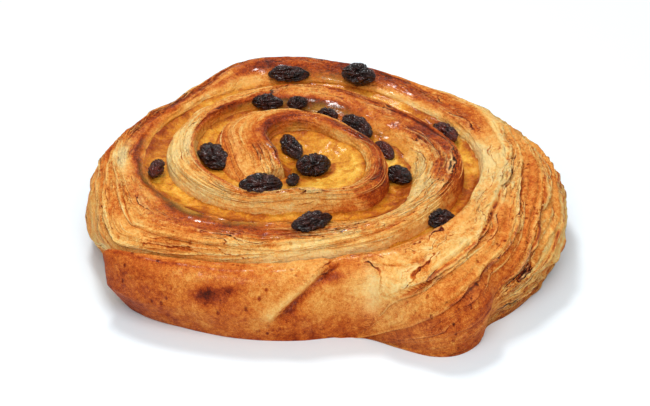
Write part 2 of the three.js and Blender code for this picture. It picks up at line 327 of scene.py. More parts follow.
def add_loft(bm: bmesh.types.BMesh, points: Array, first: int = 0) -> None:
    """Lay a grid over closed rows of points, and cap it into a solid.

    Args:
        bm: The mesh that the solid is added to, in metres.
        points: Rows by columns by three, in millimetres; each row is one section's outline.
        first: The number of the first point, kept with the others in the vertex layer point.
    """
    rows, columns = points.shape[:2]
    number = bm.verts.layers.int.get("point") or bm.verts.layers.int.new("point")
    made = bmesh.ops.create_grid(bm, x_segments=rows - 1, y_segments=columns, size=1.0)["verts"]
    flat = points.reshape(-1, 3) * MM
    edge = []
    for vertex in made:
        column = round((vertex.co.y + 1) / 2 * columns) % columns
        point = round((vertex.co.x + 1) / 2 * (rows - 1)) * columns + column
        vertex[number] = first + point
        vertex.co = flat[point]
        if column == 0:
            edge.append(vertex)
    bmesh.ops.remove_doubles(bm, verts=edge, dist=WELD)
    rim = [e for v in made if v.is_valid for e in v.link_edges if e.is_boundary]
    caps = bmesh.ops.holes_fill(bm, edges=list(set(rim)), sides=0)["faces"]
    bmesh.ops.triangulate(bm, faces=caps)


def finished(bm: bmesh.types.BMesh, name: str, masks: dict[str, Array] | None = None) -> bpy.types.Object:
    """Turn a bmesh into a smooth object.

    Args:
        bm: The mesh, in metres, in the row frame. It is freed.
        name: The piece's name.
        masks: Vertex masks by name, each with a value for every numbered point of the lofts.

    Returns:
        The new object.
    """
    mesh = bpy.data.meshes.new(name)
    bmesh.ops.recalc_face_normals(bm, faces=bm.faces)
    bm.to_mesh(mesh)
    bm.free()
    mesh.polygons.foreach_set("use_smooth", [True] * len(mesh.polygons))
    if masks:
        point = np.zeros(len(mesh.vertices), np.int32)
        mesh.attributes["point"].data.foreach_get("value", point)
        mesh.attributes.remove(mesh.attributes["point"])
        for key, values in masks.items():
            mask = mesh.attributes.new(key, "FLOAT", "POINT")
            mask.data.foreach_set("value", values.ravel()[point].astype(np.float32))
    mesh.update()
    piece = bpy.data.objects.new(name, mesh)
    bpy.context.scene.collection.objects.link(piece)
    return piece


def normals_of(points: Array) -> Array:
    """Work out the outward unit normals of a surface.

    Args:
        points: Rows by columns by three.

    Returns:
        As many normals, laid out alike.
    """
    along = np.gradient(points, axis=0)
    around = np.gradient(points, axis=1)
    normal = np.cross(around, along)
    length = np.linalg.norm(normal, axis=-1, keepdims=True)
    return normal / np.maximum(length, TINY)


# ------------------------------------------------------------------------------------- the dough


@dataclass(frozen=True)
class Patch:
    """A spot where the bake differs, or where a highlight is painted: its place, its reach each way, and what
    it adds to each mask.
    """

    turn: float
    zone: float
    reach: Span
    toast: float = 0.0
    cream: float = 0.0
    gloss: float = 0.0

    def shape(self, turn: Array, zone: Array) -> Array:
        """Say how much of the patch there is at a place, from 0 to 1."""
        return bump(turn, self.turn, self.reach[0]) * bump(zone, self.zone, self.reach[1])


@dataclass(frozen=True)
class Fold:
    """A slanting groove pressed into the wall, by (turn angle, share of the way down) at its ends.

    Its width is in degrees and its depth in millimetres. Then come what it adds to the masks.
    """

    start: Span
    end: Span
    width: float
    depth: float
    toast: float = 0.0
    gloss: float = 0.0
    cream: float = 0.0
    fade: float = 0.12

    def shape(self, turn: Array, down: Array) -> Array:
        """Say how deep in the groove a place lies.

        Args:
            turn: Turn angles.
            down: Shares of the way down the wall.

        Returns:
            Values from 0, outside it, to 1, on its middle line.
        """
        share = np.clip((down - self.start[1]) / (self.end[1] - self.start[1]), 0, 1)
        off = (turn - lerp(self.start[0], self.end[0], share)) / self.width
        past = (down - lerp(self.start[1], self.end[1], share)) / self.fade
        return np.exp(-(off**2) - past**2)


@dataclass(frozen=True)
class Bake:
    """How brown the ribbon is, from 0, pale, to 1, dark, at each compass point, in six zones.

    The zones are low and high on the slope into the seam, the glazed band on the crest's inner side,
    the crest, and high and low on the side. The stops are the places at which these tones are met,
    with the foot of the outer wall and the base after them. Patches are added to the tones.
    """

    seam: Curve = Curve.compass(
        135,
        (0.2, 0.86, 0.7, 0.62, 0.42, 0.2, 0.42, 0.45)
        + (0.45, 0.16, 0.5, 0.82, 0.64, 0.26, 0.36, 0.56)
        + (0.6, 0.54, 0.14, 0.72, 0.34, 0.02, 0.3, 0.5, 0.52),
    )
    slope: Curve = Curve.compass(
        135,
        (0.24, 1.0, 0.72, 0.72, 0.3, 0.4, 0.44, 0.42)
        + (0.5, 0.22, 0.68, 0.92, 0.5, 0.12, 0.24, 0.52)
        + (0.78, 0.74, 0.3, 0.76, 0.5, 0.0, 0.36, 0.26, 0.5),
    )
    glaze: Curve = Curve.compass(
        135,
        (0.6, 1.0, 0.8, 0.76, 0.66, 0.6, 0.54, 0.42)
        + (0.46, 0.5, 0.74, 0.5, 0.58, 0.62, 0.22, 0.58)
        + (0.7, 0.34, 0.62, 0.76, 0.62, 0.08, 0.36, 0.32, 0.5),
    )
    crest: Curve = Curve.compass(
        135,
        (0.5, 0.62, 0.68, 0.68, 0.78, 0.78, 0.54, 0.38)
        + (0.42, 0.22, 0.32, 0.64, 0.88, 0.9, 0.16, 0.42)
        + (0.54, 0.38, 0.7, 0.76, 0.66, 0.3, 0.28, 0.36, 0.54),
    )
    shoulder: Curve = Curve.compass(
        135,
        (0.28, 0.46, 0.3, 0.62, 0.56, 0.6, 0.46, 0.22)
        + (0.24, 0.12, 0.34, 0.66, 0.64, 0.78, 0.24, 0.18)
        + (0.32, 0.5, 0.46, 0.52, 0.34, 0.3, 0.3, 0.38, 0.56),
    )
    side: Curve = Curve.compass(
        135,
        (0.4, 0.42, 0.6, 0.5, 0.4, 0.5, 0.54, 0.32)
        + (0.12, 0.05, 0.2, 0.3, 0.4, 0.55, 0.28, 0.08)
        + (0.28, 0.38, 0.44, 0.46, 0.4, 0.32, 0.42, 0.42, 0.6),
    )
    patches: tuple[Patch, ...] = (
        Patch(1200, 1.72, (3.5, 0.14), toast=0.4),
        Patch(1193, 1.6, (2.5, 0.1), toast=0.25),
        Patch(1160, 1.45, (4.0, 0.12), toast=0.35, gloss=0.4),
        Patch(1150, 1.7, (7.0, 0.35), toast=-0.15, cream=0.3),
        Patch(1090, 1.14, (22.0, 0.12), toast=-0.06, cream=0.15),
        Patch(398, 1.45, (24.0, 0.3), toast=0.06, gloss=0.7),
        # Painted highlight: less toast and full cream paint the white glint on the left crest; only its gloss
        # is real.
        Patch(905, 1.03, (6.0, 0.08), toast=-0.4, cream=1.0, gloss=0.4),
        Patch(930, 1.12, (9.0, 0.14), toast=0.2),
        Patch(1018, 1.15, (9.0, 0.16), toast=0.2),
        Patch(882, 0.64, (10.0, 0.12), toast=-0.25),
        Patch(911, 0.68, (9.0, 0.16), toast=0.3, gloss=0.2),
        Patch(895, 0.46, (8.0, 0.13), toast=0.2, gloss=0.2),
        Patch(878, 0.38, (14.0, 0.1), toast=0.2, gloss=0.2),
        Patch(858, 0.36, (8.0, 0.1), toast=0.12, gloss=0.2),
        Patch(944, 1.06, (9.0, 0.1), toast=0.18),
        Patch(961, 0.92, (6.0, 0.1), toast=-0.22),
        Patch(1026, 0.2, (13.0, 0.28), toast=-0.4, cream=0.15),
        Patch(970, 0.42, (9.0, 0.25), toast=-0.32, cream=0.1),
        Patch(324, 0.4, (20.0, 0.3), toast=-0.15, cream=0.1),
        Patch(1164, 1.46, (2.5, 0.12), toast=0.2, gloss=0.8),
        Patch(1130, 2.3, (6.0, 0.4), toast=0.12),
        Patch(1143, 2.4, (7.0, 0.4), toast=0.05, cream=0.1),
        Patch(480, 1.1, (16.0, 0.1), toast=0.1, gloss=0.3),
        Patch(1202, 1.36, (9.0, 0.13), toast=-0.06, gloss=0.8),
        Patch(1195, 0.4, (9.0, 0.6), toast=0.14),
        Patch(548, 1.06, (12.0, 0.12), toast=-0.05, cream=0.5),
        Patch(1076, 0.6, (13.0, 0.4), toast=-0.2, cream=0.35),
        Patch(1212, 1.12, (14.0, 0.06), toast=0.16),
    )
    stops: tuple[float, ...] = (-0.4, 0.1, 0.5, 0.82, 0.98, 1.07, 1.3, 1.85, 3.2, 4.0)
    foot: float = 0.58
    base: float = 0.68

    def tone(self, turn: Array, zone: Array, wall: Array) -> Array:
        """Run from each zone's tone into the next.

        Args:
            turn: The turn angle of each row.
            zone: The zone of each point.
            wall: How far each row has opened into the outer wall.

        Returns:
            How brown each point is, without the patches.
        """
        seam, slope, glaze, crest = self.seam(turn), self.slope(turn), self.glaze(turn), self.crest(turn)
        shoulder, side = self.shoulder(turn), self.side(turn)
        foot = lerp(side, self.foot, wall)
        levels = (seam, seam, slope, glaze, glaze, crest, shoulder, side, foot, 0 * foot + self.base)
        toast = 0.0 * turn * zone
        for i, (start, end) in enumerate(zip(self.stops, self.stops[1:])):
            inside = (zone >= start) & (zone <= end)
            toast = np.where(inside, lerp(levels[i], levels[i + 1], ease(zone, start, end)), toast)
        return toast


@dataclass
class Dough:
    """The ribbon of laminated dough, rolled up and baked."""

    swirl: Swirl
    bake: Bake = Bake()
    spacing: float = 0.84
    base_columns: int = 3
    foot_columns: int = 14
    wall_columns: int = 68
    slope_columns: int = 28
    flank_columns: int = 3
    tip_length: float = 12.0
    tip_fullness: float = 0.84
    tail_length: float = 4.0
    tail_fullness: float = 0.3
    end_height: float = 0.9
    foot_chamfer: float = 0.8
    folds: tuple[Fold, ...] = (
        Fold((1160, 0.15), (1178, 1.1), 2.2, 1.8, toast=0.3, gloss=0.7),
        Fold((1167, 0.4), (1182, 1.0), 2.6, -0.5, toast=-0.14, cream=0.15),
        Fold((1149, 0.3), (1150, 0.95), 1.3, 0.9, toast=0.05, cream=0.5),
        Fold((1134, 0.2), (1148, 1.0), 1.7, 0.8, toast=0.14),
        Fold((1117, 0.05), (1147, 0.2), 3.0, 0.5, toast=0.12, fade=0.06),
        Fold((763, 0.2), (804, 0.7), 7.0, 0.6, toast=0.16, gloss=0.3, fade=0.2),
    )
    edges: tuple[Curve, ...] = (
        Curve(
            ((480, 0.2), (800, 0.24), (842, 0.5), (861, 0.46), (866, 0.36), (875, 0.25), (884, 0.15))
            + ((896, 0.07), (925, 0.18), (1000, 0.34), (1046, 0.37), (1060, 0.26), (1071, 0.19))
            + ((1088, 0.13), (1103, 0.19), (1117, 0.33), (1128, 0.3), (1136, 0.38), (1142, 0.6))
            + ((1146, 0.82), (1150, 1.3), (1156, 1.9))
        ),
        Curve(
            ((480, 0.4), (800, 0.48), (842, 0.85), (870, 0.76), (876, 0.66), (887, 0.42), (896, 0.25))
            + ((925, 0.36), (1000, 0.48), (1049, 0.46), (1063, 0.37), (1076, 0.29), (1083, 0.25))
            + ((1096, 0.32), (1106, 0.48), (1116, 0.6), (1128, 0.62), (1136, 0.74), (1142, 1.0))
            + ((1148, 1.5), (1156, 2.1))
        ),
        Curve(
            ((480, 0.62), (800, 0.75), (842, 1.1), (870, 1.0), (886, 0.66), (893, 0.52), (899, 0.42))
            + ((925, 0.52), (1000, 0.6), (1060, 0.53), (1069, 0.47), (1079, 0.48), (1094, 0.56))
            + ((1102, 0.64), (1110, 0.8), (1117, 0.92), (1128, 0.98), (1136, 1.1), (1145, 1.6), (1156, 2.3))
        ),
        Curve(
            ((800, 1.0), (870, 1.2), (900, 0.7), (1000, 0.78), (1079, 0.68), (1102, 0.86), (1128, 1.2))
            + ((1150, 2),)
        ),
        Curve(
            ((800, 1.2), (870, 1.4), (900, 0.95), (1000, 0.98), (1079, 0.88), (1102, 1.05), (1128, 1.4))
            + ((1150, 2.3),)
        ),
        Curve(((870, 1.6), (900, 1.25), (1000, 1.2), (1079, 1.1), (1102, 1.25), (1128, 1.6), (1150, 2.5))),
        Curve(((870, 1.8), (900, 1.5), (1000, 1.45), (1079, 1.35), (1102, 1.5), (1128, 1.8), (1150, 2.7))),
    )
    sheet_width: float = 4.2
    sheets_below: int = 4  # even sheets counted past the last edge
    even_sheet: float = 0.2
    thinnest_sheet: float = 0.02
    slope_hollow: float = 1.6
    step: Curve = Curve(
        ((430, 0), (480, 0.25), (790, 0.3), (842, 0.5), (895, 0.9), (930, 0.8), (980, 0.7), (1020, 1.2))
        + ((1060, 1.8), (1110, 1.7), (1140, 1.1), (1158, 0.3), (1168, 0), (1230, 0))
    )
    sheet_tones: tuple[float, ...] = (0.0, 0.12, 0.15, 0.02, -0.06, 0.04, -0.04, 0.0)
    sheet_edges: tuple[float, ...] = (1.0, 0.8, 0.9, 0.9, 0.7, 0.9, 0.7, 0.5)
    bare_slopes: tuple[Span, ...] = ((165, 25), (375, 40), (455, 20), (725, 38), (790, 20))

    # Stretches of turn angles: where the tones of the sheets show fully, where the lower sheets of the
    # back wall are finely layered, where the crest's outer side is freckled, and where sheets split most.
    banded: Stretch = Stretch((1045, 1080), (1136, 1146))
    layered: Stretch = Stretch((930, 1000), (1108, 1125))
    freckled: Stretch = Stretch((790, 830), (870, 900))
    split: Stretch = Stretch((1035, 1065), (1108, 1120))
    left_layers: Span = (885, 20)  # middle and half width of a layered spot at the left
    knob: Span = (1130, 9)  # and of the knob of the front
    knob_edge: Span = (1106, 1122)  # where the ledges give way to the knob
    honey: Span = (360, 280)  # degrees past the custard's end at which its glaze is gone, and still whole
    skin_edge: Span = (1160.0, 1180.0)  # the fold beside the tail's skin, at the top and at the knee
    skin_blur: Span = (-1.0, 2.0)  # degrees about that over which the skin sets in
    onto_sheets: Span = (-30.0, 10.0)  # degrees about the seam's end where layers come to follow sheets

    # Zones, from 0 in the seam over 1 on the crest to 2 at the wall's widest and 3 at its foot: where there
    # is relief, what the next turn covers, where the crest turns into the flank, where the glaze sets in
    # from the seam and gives out past the crest, and the slope into the seam.
    seen: Stretch = Stretch((-0.1, 0.15), (2.6, 3.0))
    covered: Span = (1.7, 2.0)
    flank: Span = (0.9, 1.15)
    glaze_start: Span = (-0.6, 0.1)
    glaze_end: Span = (1.12, 0.98)
    inner_slope: Stretch = Stretch((0.0, 0.3), (0.9, 1.1))
    seam_flank: Span = (-0.3, -1.0)

    # Shares of the way down the wall, and counts of sheets: where the knob and its ledges' end lie, where
    # ledges, the sheets' tones and the painted shade of their grooves set in, and which sheets are freckled
    # and which finely layered.
    knob_down: Span = (0.8, 1.0)
    knob_edge_down: Span = (0.66, 0.95)
    ledges_down: Stretch = Stretch((0.0, 0.08), (1.3, 1.9))
    grooves_down: Span = (0.02, 0.1)
    freckled_sheets: Stretch = Stretch((0.9, 1.1), (2.8, 3.2))
    layered_sheets: Span = (2.6, 3.2)

    # Noise, in millimetres along and across, or in zones or shares of the way down across.
    ragged: Grain = Grain(0.04, 4, 1 / 3, 19)
    blotches: Grain = Grain(0.14, 9, 6, 3)
    wander: tuple[Grain, ...] = (Grain(0.035, 19, 1 / 4, 11, 1), Grain(0.014, 5, 1 / 9, 12, 1))
    skin_wander: Grain = Grain(1.2, 1 / 5, 1, 8, 1)
    lumps: tuple[Grain, ...] = (Grain(0.5, 13, 8, 31), Grain(0.2, 4.5, 4, 33, 1))
    pimples: Grain = Grain(0.12, 2.6, 2.2, 37, 2)
    ripple: Grain = Grain(0.3, 8, 1 / 5, 35)
    cracks: Cracks = Cracks(0.28, 12, 1.3, 41, 0.2)
    fine_cracks: Cracks = Cracks(0.1, 6, 0.7, 47, 0.25)
    splits: float = 2.6  # small ledges to a sheet
    split_wander: Grain = Grain(0.4, 7, 1, 51, 1)

    turns: Array = field(init=False)
    zone: Array = field(init=False)
    down: Array = field(init=False)
    smooth: Array = field(init=False)
    normals: Array = field(init=False)
    along: Array = field(init=False)
    layer: Array = field(init=False)
    relief: Array = field(init=False)
    points: Array = field(init=False)
    masks: dict[str, Array] = field(init=False)

    def __post_init__(self) -> None:
        """Lay out the rows and columns, and work out the surface."""
        self.turns = self._rows()
        self.zone, self.down = self._columns()
        self.smooth = self._outline(self.turns)
        self.normals = normals_of(self.smooth)
        self.along = self._along()[:, None]
        self.layer = self._layer()
        self.masks = self._bake()
        self.relief = self._relief()
        self.points = self.smooth + self.normals * self.relief[..., None]

    def _rows(self) -> Array:
        """Space out the rows evenly along the ribbon's outer edge.

        Returns:
            The turn angle of each row.
        """
        turn, rows = self.swirl.tip, []
        while turn < self.swirl.tail:
            rows.append(turn)
            radius = float(self.swirl.across(np.array(turn))[2])
            turn += math.degrees(self.spacing / radius)
        return np.array(rows + [self.swirl.tail])

    def _columns(self) -> tuple[Array, Array]:
        """Number the columns of a section.

        Returns:
            The zone of each column (0 in the seam, 1 on the crest, 2 at the wall's widest, 3 at the
            foot, 4 under the base), and its share of the way down the wall.
        """
        base = np.linspace(4.0, 3.0, self.base_columns, endpoint=False)
        foot = np.linspace(3.0, 2.0, self.foot_columns, endpoint=False)
        wall = np.linspace(2.0, 1.0, self.wall_columns, endpoint=False)
        slope = np.linspace(1.0, 0.0, self.slope_columns + 1)
        flank = np.linspace(*self.seam_flank, self.flank_columns)
        zone = np.concatenate([base, foot, wall, slope, flank])
        return zone, np.clip(zone - 1.0, 0.0, 2.0)

    def _outline(self, turns: Array) -> Array:
        """Work out the ribbon's surface without its relief.

        Args:
            turns: The turn angle of each row.

        Returns:
            Rows by columns of points, in millimetres.
        """
        swirl = self.swirl
        turn = turns[:, None]
        inner, crest, outer = swirl.across(turn)
        top = swirl.crest_height(turn)
        wall = swirl.wall_share(turn)
        knee = lerp(swirl.level(np.minimum(turn, swirl.seam_end)), swirl.widest, wall)
        turn_in = lerp(self.foot_chamfer + swirl.lean(turn, 0), swirl.tuck(turn), wall)
        foot_in = inner - swirl.lean(turn - TURN, 0) + self.foot_chamfer

        share = np.linspace(0, 1, self.base_columns, endpoint=False)
        base = (lerp(foot_in, outer - turn_in, share), 0 * turn + 0 * share)

        up = np.linspace(0, 1, self.foot_columns, endpoint=False)
        shut = outer - np.where(up > 0, swirl.lean(turn, up * knee), turn_in)
        quarter = up * math.pi / 2
        foot = (
            lerp(shut, outer - turn_in * np.cos(quarter), wall),
            knee * lerp(up, 1 - np.cos(quarter), wall),
        )

        quarter = np.linspace(1, 0, self.wall_columns, endpoint=False) * math.pi / 2
        side = (
            lerp(crest, outer, np.sin(quarter) ** swirl.squareness(turn)),
            lerp(knee, top, np.abs(np.cos(quarter)) ** swirl.squareness(turn)),
        )

        quarter = np.linspace(1, 0, self.slope_columns + 1) * math.pi / 2
        lip = swirl.level(turn - TURN) + swirl.flare_rise * swirl.custard_share(turn - TURN)
        slope = (
            lerp(inner + swirl.flare(turn - TURN), crest, 1 - np.cos(quarter)),
            lerp(lip, top, np.sin(quarter) ** self.slope_hollow),
        )

        share = np.linspace(0, 1, self.flank_columns)
        z = lerp(swirl.level(turn - TURN) - swirl.flare_depth, self.foot_chamfer, share)
        flank = (inner - swirl.lean(turn - TURN, z), z)

        radius, height = (np.concatenate(parts, axis=1) for parts in zip(base, foot, side, slope, flank))
        full = self._rounded(self.tip_fullness, (turn - swirl.tip) / self.tip_length)
        full = full * self._rounded(self.tail_fullness, (swirl.tail - turn) / self.tail_length)
        middle = (inner + outer) / 2 - swirl.lean(turn - TURN, height)
        height = height * lerp(self.end_height, 1.0, full)
        return swirl.place(turn, lerp(middle, radius, full), height)

    def _rounded(self, least: float, share: Array) -> Array:
        """Round an end off: how full the ribbon is at a share of the way from it, from a least value."""
        share = np.clip(share, 0, 1)
        return lerp(least, 1.0, np.sqrt(1 - (1 - share) ** 2))

    def _along(self) -> Array:
        """Measure along the ribbon.

        Returns:
            Each row's distance from the first, in millimetres.
        """
        _, crest, _ = self.swirl.across(self.turns)
        steps = np.radians(np.diff(self.turns)) * (crest[1:] + crest[:-1]) / 2
        return np.concatenate([[0.0], np.cumsum(steps)])

    def _across(self) -> Array:
        """Measure over the ribbon from its crest.

        Returns:
            Each point's distance outwards, in millimetres; it is less than nought on the inner side.
        """
        steps = np.linalg.norm(np.diff(self.smooth, axis=1), axis=-1)
        run = np.concatenate([np.zeros((len(self.smooth), 1)), np.cumsum(steps, axis=1)], axis=1)
        crest = self.base_columns + self.foot_columns + self.wall_columns
        return run[:, crest : crest + 1] - run

    def _bake(self) -> dict[str, Array]:
        """Work out how brown, creamy, glossy, layered and freckled the crust is, with painted shade and
        highlights at its ledges and a painted highlight on the left crest.

        Returns:
            Each mask by its name, rows by columns, and the distances along the ribbon and over its layers.
        """
        turn, zone, down = self.turns[:, None], self.zone[None, :], self.down[None, :]
        wall, skin, phase = self.swirl.wall_share(turn), self.skin(), self.phase()
        ragged = zone + self.ragged.over(self.along, zone) * bump(zone, 1.0, 0.3)
        toast = self.bake.tone(turn, ragged, wall)
        gloss = 0.9 * ease(ragged, *self.glaze_end) * ease(zone, *self.glaze_start)
        gloss = gloss * (1 - 0.6 * wall * (zone > 1.02)) * (1 - 0.75 * skin) + 0.2 * skin
        masks = {"toast": toast, "cream": 0 * toast, "gloss": gloss}
        spots = [(fold, down) for fold in self.folds] + [(patch, zone) for patch in self.bake.patches]
        for mark, place in spots:
            share = mark.shape(turn, place)
            masks = {name: mask + share * getattr(mark, name) for name, mask in masks.items()}

        banded = self.banded(turn) * ease(down, 1.3, 0.9)
        tones = self.of_sheet(self.sheet_tones, phase, 0.12) * (0.25 + 0.75 * banded) * wall
        knob = bump(turn, *self.knob) * ease(down, *self.knob_down)
        # Painted shade in the groove under each ledge and a painted highlight on its lip go into toast here,
        # with the sheets' own tones.
        toast = masks["toast"] + (tones + self._groove_shade_and_lip_highlight()) * (1 - skin) * ease(down, *self.grooves_down)
        toast = toast + self.blotches.over(self.along, self.layer) * (1 - 0.5 * skin) + 0.06 * knob

        bare = sum(bump(turn, middle, width) for middle, width in self.bare_slopes)
        lip = 0.8 * (bump(zone, 1.12, 0.2) + bare * self.inner_slope(zone))
        shell = self.layered(turn) * ease(phase, *self.layered_sheets)
        shell = shell + 0.7 * bump(turn, *self.left_layers) * ease(down, 0.4, 0.7)
        freckle = 0.25 + 0.55 * skin + 0.5 * self.freckled(turn) * (zone > 1.1) + knob
        freckle = freckle + 0.7 * banded * self.freckled_sheets(phase)
        glazed = ease(turn, *(self.swirl.custard_end + degrees for degrees in self.honey))
        masks |= {"toast": toast, "gloss": masks["gloss"] * (1 - 0.5 * bare * ease(zone, 1.0, 0.8))}
        masks |= {"layers": (0.22 + lip + shell) * (1 - 0.92 * skin), "freckle": freckle}
        masks |= {"honey": ease(zone, 0.75, 0.2) * glazed}
        masks = {name: np.clip(mask, 0, 1) + 0 * toast for name, mask in masks.items()}
        return masks | {"along": self.along + 0 * toast, "layer": self.layer + 0 * toast}

    def _layer(self) -> Array:
        """Measure over the layers of dough, which follow the edges of the sheets on the outer wall.

        Returns:
            Each point's distance outwards, in millimetres.
        """
        turn, across = self.turns[:, None], self._across()
        sheet = self.sheet_width * self.sheet_at(turn, self.down[None, :])
        onto = ease(turn, *(self.swirl.seam_end + degrees for degrees in self.onto_sheets)) * (across > 0)
        return lerp(across, sheet, onto)

    def skin(self) -> Array:
        """Mark the smooth skin of the tail, left of the fold in the front wall, from 0 to 1."""
        edge = lerp(*self.skin_edge, np.clip(self.down, 0, 1)) + self.skin_wander.over(self.down, 0.0)
        return ease(self.turns[:, None], edge + self.skin_blur[0], edge + self.skin_blur[1])

    def edge(self, turn: Array, number: int) -> Array:
        """Find where a sheet starts.

        Args:
            turn: Turn angles.
            number: Which sheet; 0 starts at the crest, and those below 0 lie on the inner slope.

        Returns:
            The share of the way down the wall.
        """
        last = len(self.edges)
        if number < 1:
            return 0 * turn + self.even_sheet * number
        return self.edges[min(number, last) - 1](turn) + self.even_sheet * max(number - last, 0)

    def sheet_at(self, turn: Array, down: Array) -> Array:
        """Count the sheets down to a place on the wall.

        Args:
            turn: Turn angles.
            down: Shares of the way down the wall.

        Returns:
            The counts, which are whole numbers on the sheets' edges.
        """
        count = 0.0 * turn * down
        for number in range(len(self.edges) + self.sheets_below):
            upper, lower = self.edge(turn, number), self.edge(turn, number + 1)
            count = count + np.clip((down - upper) / np.maximum(lower - upper, self.thinnest_sheet), 0, 1)
        return count

    def down_at(self, turn: Array, count: float) -> Array:
        """Say how far down the wall a count of sheets lies, as a share of the way."""
        number = math.floor(count)
        return lerp(self.edge(turn, number), self.edge(turn, number + 1), count - number)

    def phase(self) -> Array:
        """Count the sheets down to each point of the wall, with edges that wander a little.

        Returns:
            The counts, rows by columns.
        """
        down = self.down[None, :]
        wander = sum(grain.over(self.along, down) for grain in self.wander) * ease(down, 0, 0.1)
        return self.sheet_at(self.turns[:, None], np.clip(down + wander, 0, 2))

    def of_sheet(self, values: tuple[float, ...], phase: Array, blur: float = 0.0) -> Array:
        """Give each sheet a value of its own.

        Args:
            values: The sheets' values, which repeat.
            phase: Counts of sheets.
            blur: How far from a sheet's top the value of the one above runs into it.

        Returns:
            The value at each count.
        """
        table = np.array(values)
        sheet = np.floor(phase).astype(int)
        share = ease(phase - sheet, 0.0, blur) if blur else 1.0
        return lerp(table[(sheet - 1) % len(table)], table[sheet % len(table)], share)

    def _groove_shade_and_lip_highlight(self) -> Array:
        """Paint shade into the groove under each ledge, and paint a highlight onto the ledge's own lip.

        Returns:
            What each point adds to the mask toast: painted shade in the grooves, painted highlight on the
                lips.
        """
        phase = self.phase()
        tile = phase - np.floor(phase)
        under = self.of_sheet(self.sheet_edges, phase - 1) * bump(tile, 0.02, 0.05)
        lip = self.of_sheet(self.sheet_edges, phase) * bump(tile, 0.86, 0.07)
        return self._steps() * (0.32 * under - 0.13 * lip)

    def _steps(self) -> Array:
        """Work out how high the ledges between the sheets are: low on the knob of the front."""
        knob = ease(self.turns[:, None], *self.knob_edge) * ease(self.down[None, :], *self.knob_edge_down)
        return self.step(self.turns[:, None]) * (1 - 0.9 * knob)

    def _relief(self) -> Array:
        """Work out how far the surface stands out from its outline.

        Returns:
            The height of each point, in millimetres.
        """
        turn, zone, down = self.turns[:, None], self.zone[None, :], self.down[None, :]
        along, layer = self.along, self.layer
        covered = (1 - self.swirl.wall_share(turn)) * ease(zone, *self.covered)
        seen = self.seen(zone) * (1 - covered)
        flank, flaky = ease(zone, *self.flank), 1 - self.skin()
        height = sum(grain.over(along, layer) for grain in self.lumps) + self.pimples.over(along, layer)
        height = height + self.ripple.over(along, zone) * (1 - flank)
        height = height + self.cracks.over(along, layer) * flank * flaky
        height = height + self.fine_cracks.over(along, layer) * (0.3 + 0.7 * flank) * flaky
        height = height + self._ledges(flank) * flaky
        return seen * (height - sum(fold.depth * fold.shape(turn, down) for fold in self.folds))

    def _ledges(self, flank: Array) -> Array:
        """Step the wall from sheet to sheet, with small ledges between the main ones.

        Args:
            flank: How far each column lies past the crest, from 0 to 1.

        Returns:
            The height of each point, in millimetres.
        """
        turn, down, phase = self.turns[:, None], self.down[None, :], self.phase()
        tile = phase - np.floor(phase)
        ledge = (tile**1.6 * ease(tile, 1.0, 0.9) - 0.3) * self.of_sheet(self.sheet_edges, phase, 0.3)
        minor = self.splits * phase + self.split_wander.over(self.along, phase)
        minor = minor - np.floor(minor)
        split = 0.2 * (0.4 + flank) + 0.25 * self.split(turn)
        ledge = ledge + split * (minor**2 * ease(minor, 1.0, 0.85) - 0.3)
        return self._steps() * ledge * self.ledges_down(down)

    def build(self, place: Array) -> bpy.types.Object:
        """Make the dough's mesh.

        Args:
            place: What is added to every point to bring it into the row frame, in millimetres.

        Returns:
            The new piece.
        """
        bm = bmesh.new()
        add_loft(bm, self.points + place)
        return finished(bm, "dough_ribbon", self.masks)

    def sample(self, values: Array, turn: Array, zone: Array) -> Array:
        """Read values between the mesh's points.

        Args:
            values: Rows by columns, and perhaps by three.
            turn: Turn angles.
            zone: Zones, of the same shape.

        Returns:
            The value at each of them.
        """
        row = np.interp(turn, self.turns, np.arange(len(self.turns)))
        column = np.interp(-zone, -self.zone, np.arange(len(self.zone)))
        i = np.minimum(row.astype(int), len(self.turns) - 2)
        j = np.minimum(column.astype(int), len(self.zone) - 2)
        u, v = row - i, column - j
        if values.ndim == 3:
            u, v = u[..., None], v[..., None]
        near = lerp(values[i, j], values[i, j + 1], v)
        return lerp(near, lerp(values[i + 1, j], values[i + 1, j + 1], v), u)


# ------------------------------------------------------------------------------------- the leaves


@dataclass(frozen=True)
class Cut:
    """The ranges that a kind of leaf is drawn from: its sizes in millimetres and what it adds to masks."""

    length: Span
    width: Span
    lift: Span
    toast: Span
    cream: Span
    torn: float


@dataclass(frozen=True)
class Scatter:
    """Leaves of one cut, strewn evenly: how many, and over which turn angles and counts of sheets."""

    count: int
    turns: Span
    sheets: Span
    cut: Cut


@dataclass(frozen=True)
class Leaf:
    """A thin torn sheet that stands off the ribbon along one of its layers.

    The turn angle and the count of sheets say where it starts. Its length, width and lift are in
    millimetres. Then come what it adds to the masks toast and cream, and how torn its edge is.
    """

    turn: float
    sheet: float
    length: float
    width: float
    lift: float
    toast: float
    cream: float
    torn: float
    seed: int


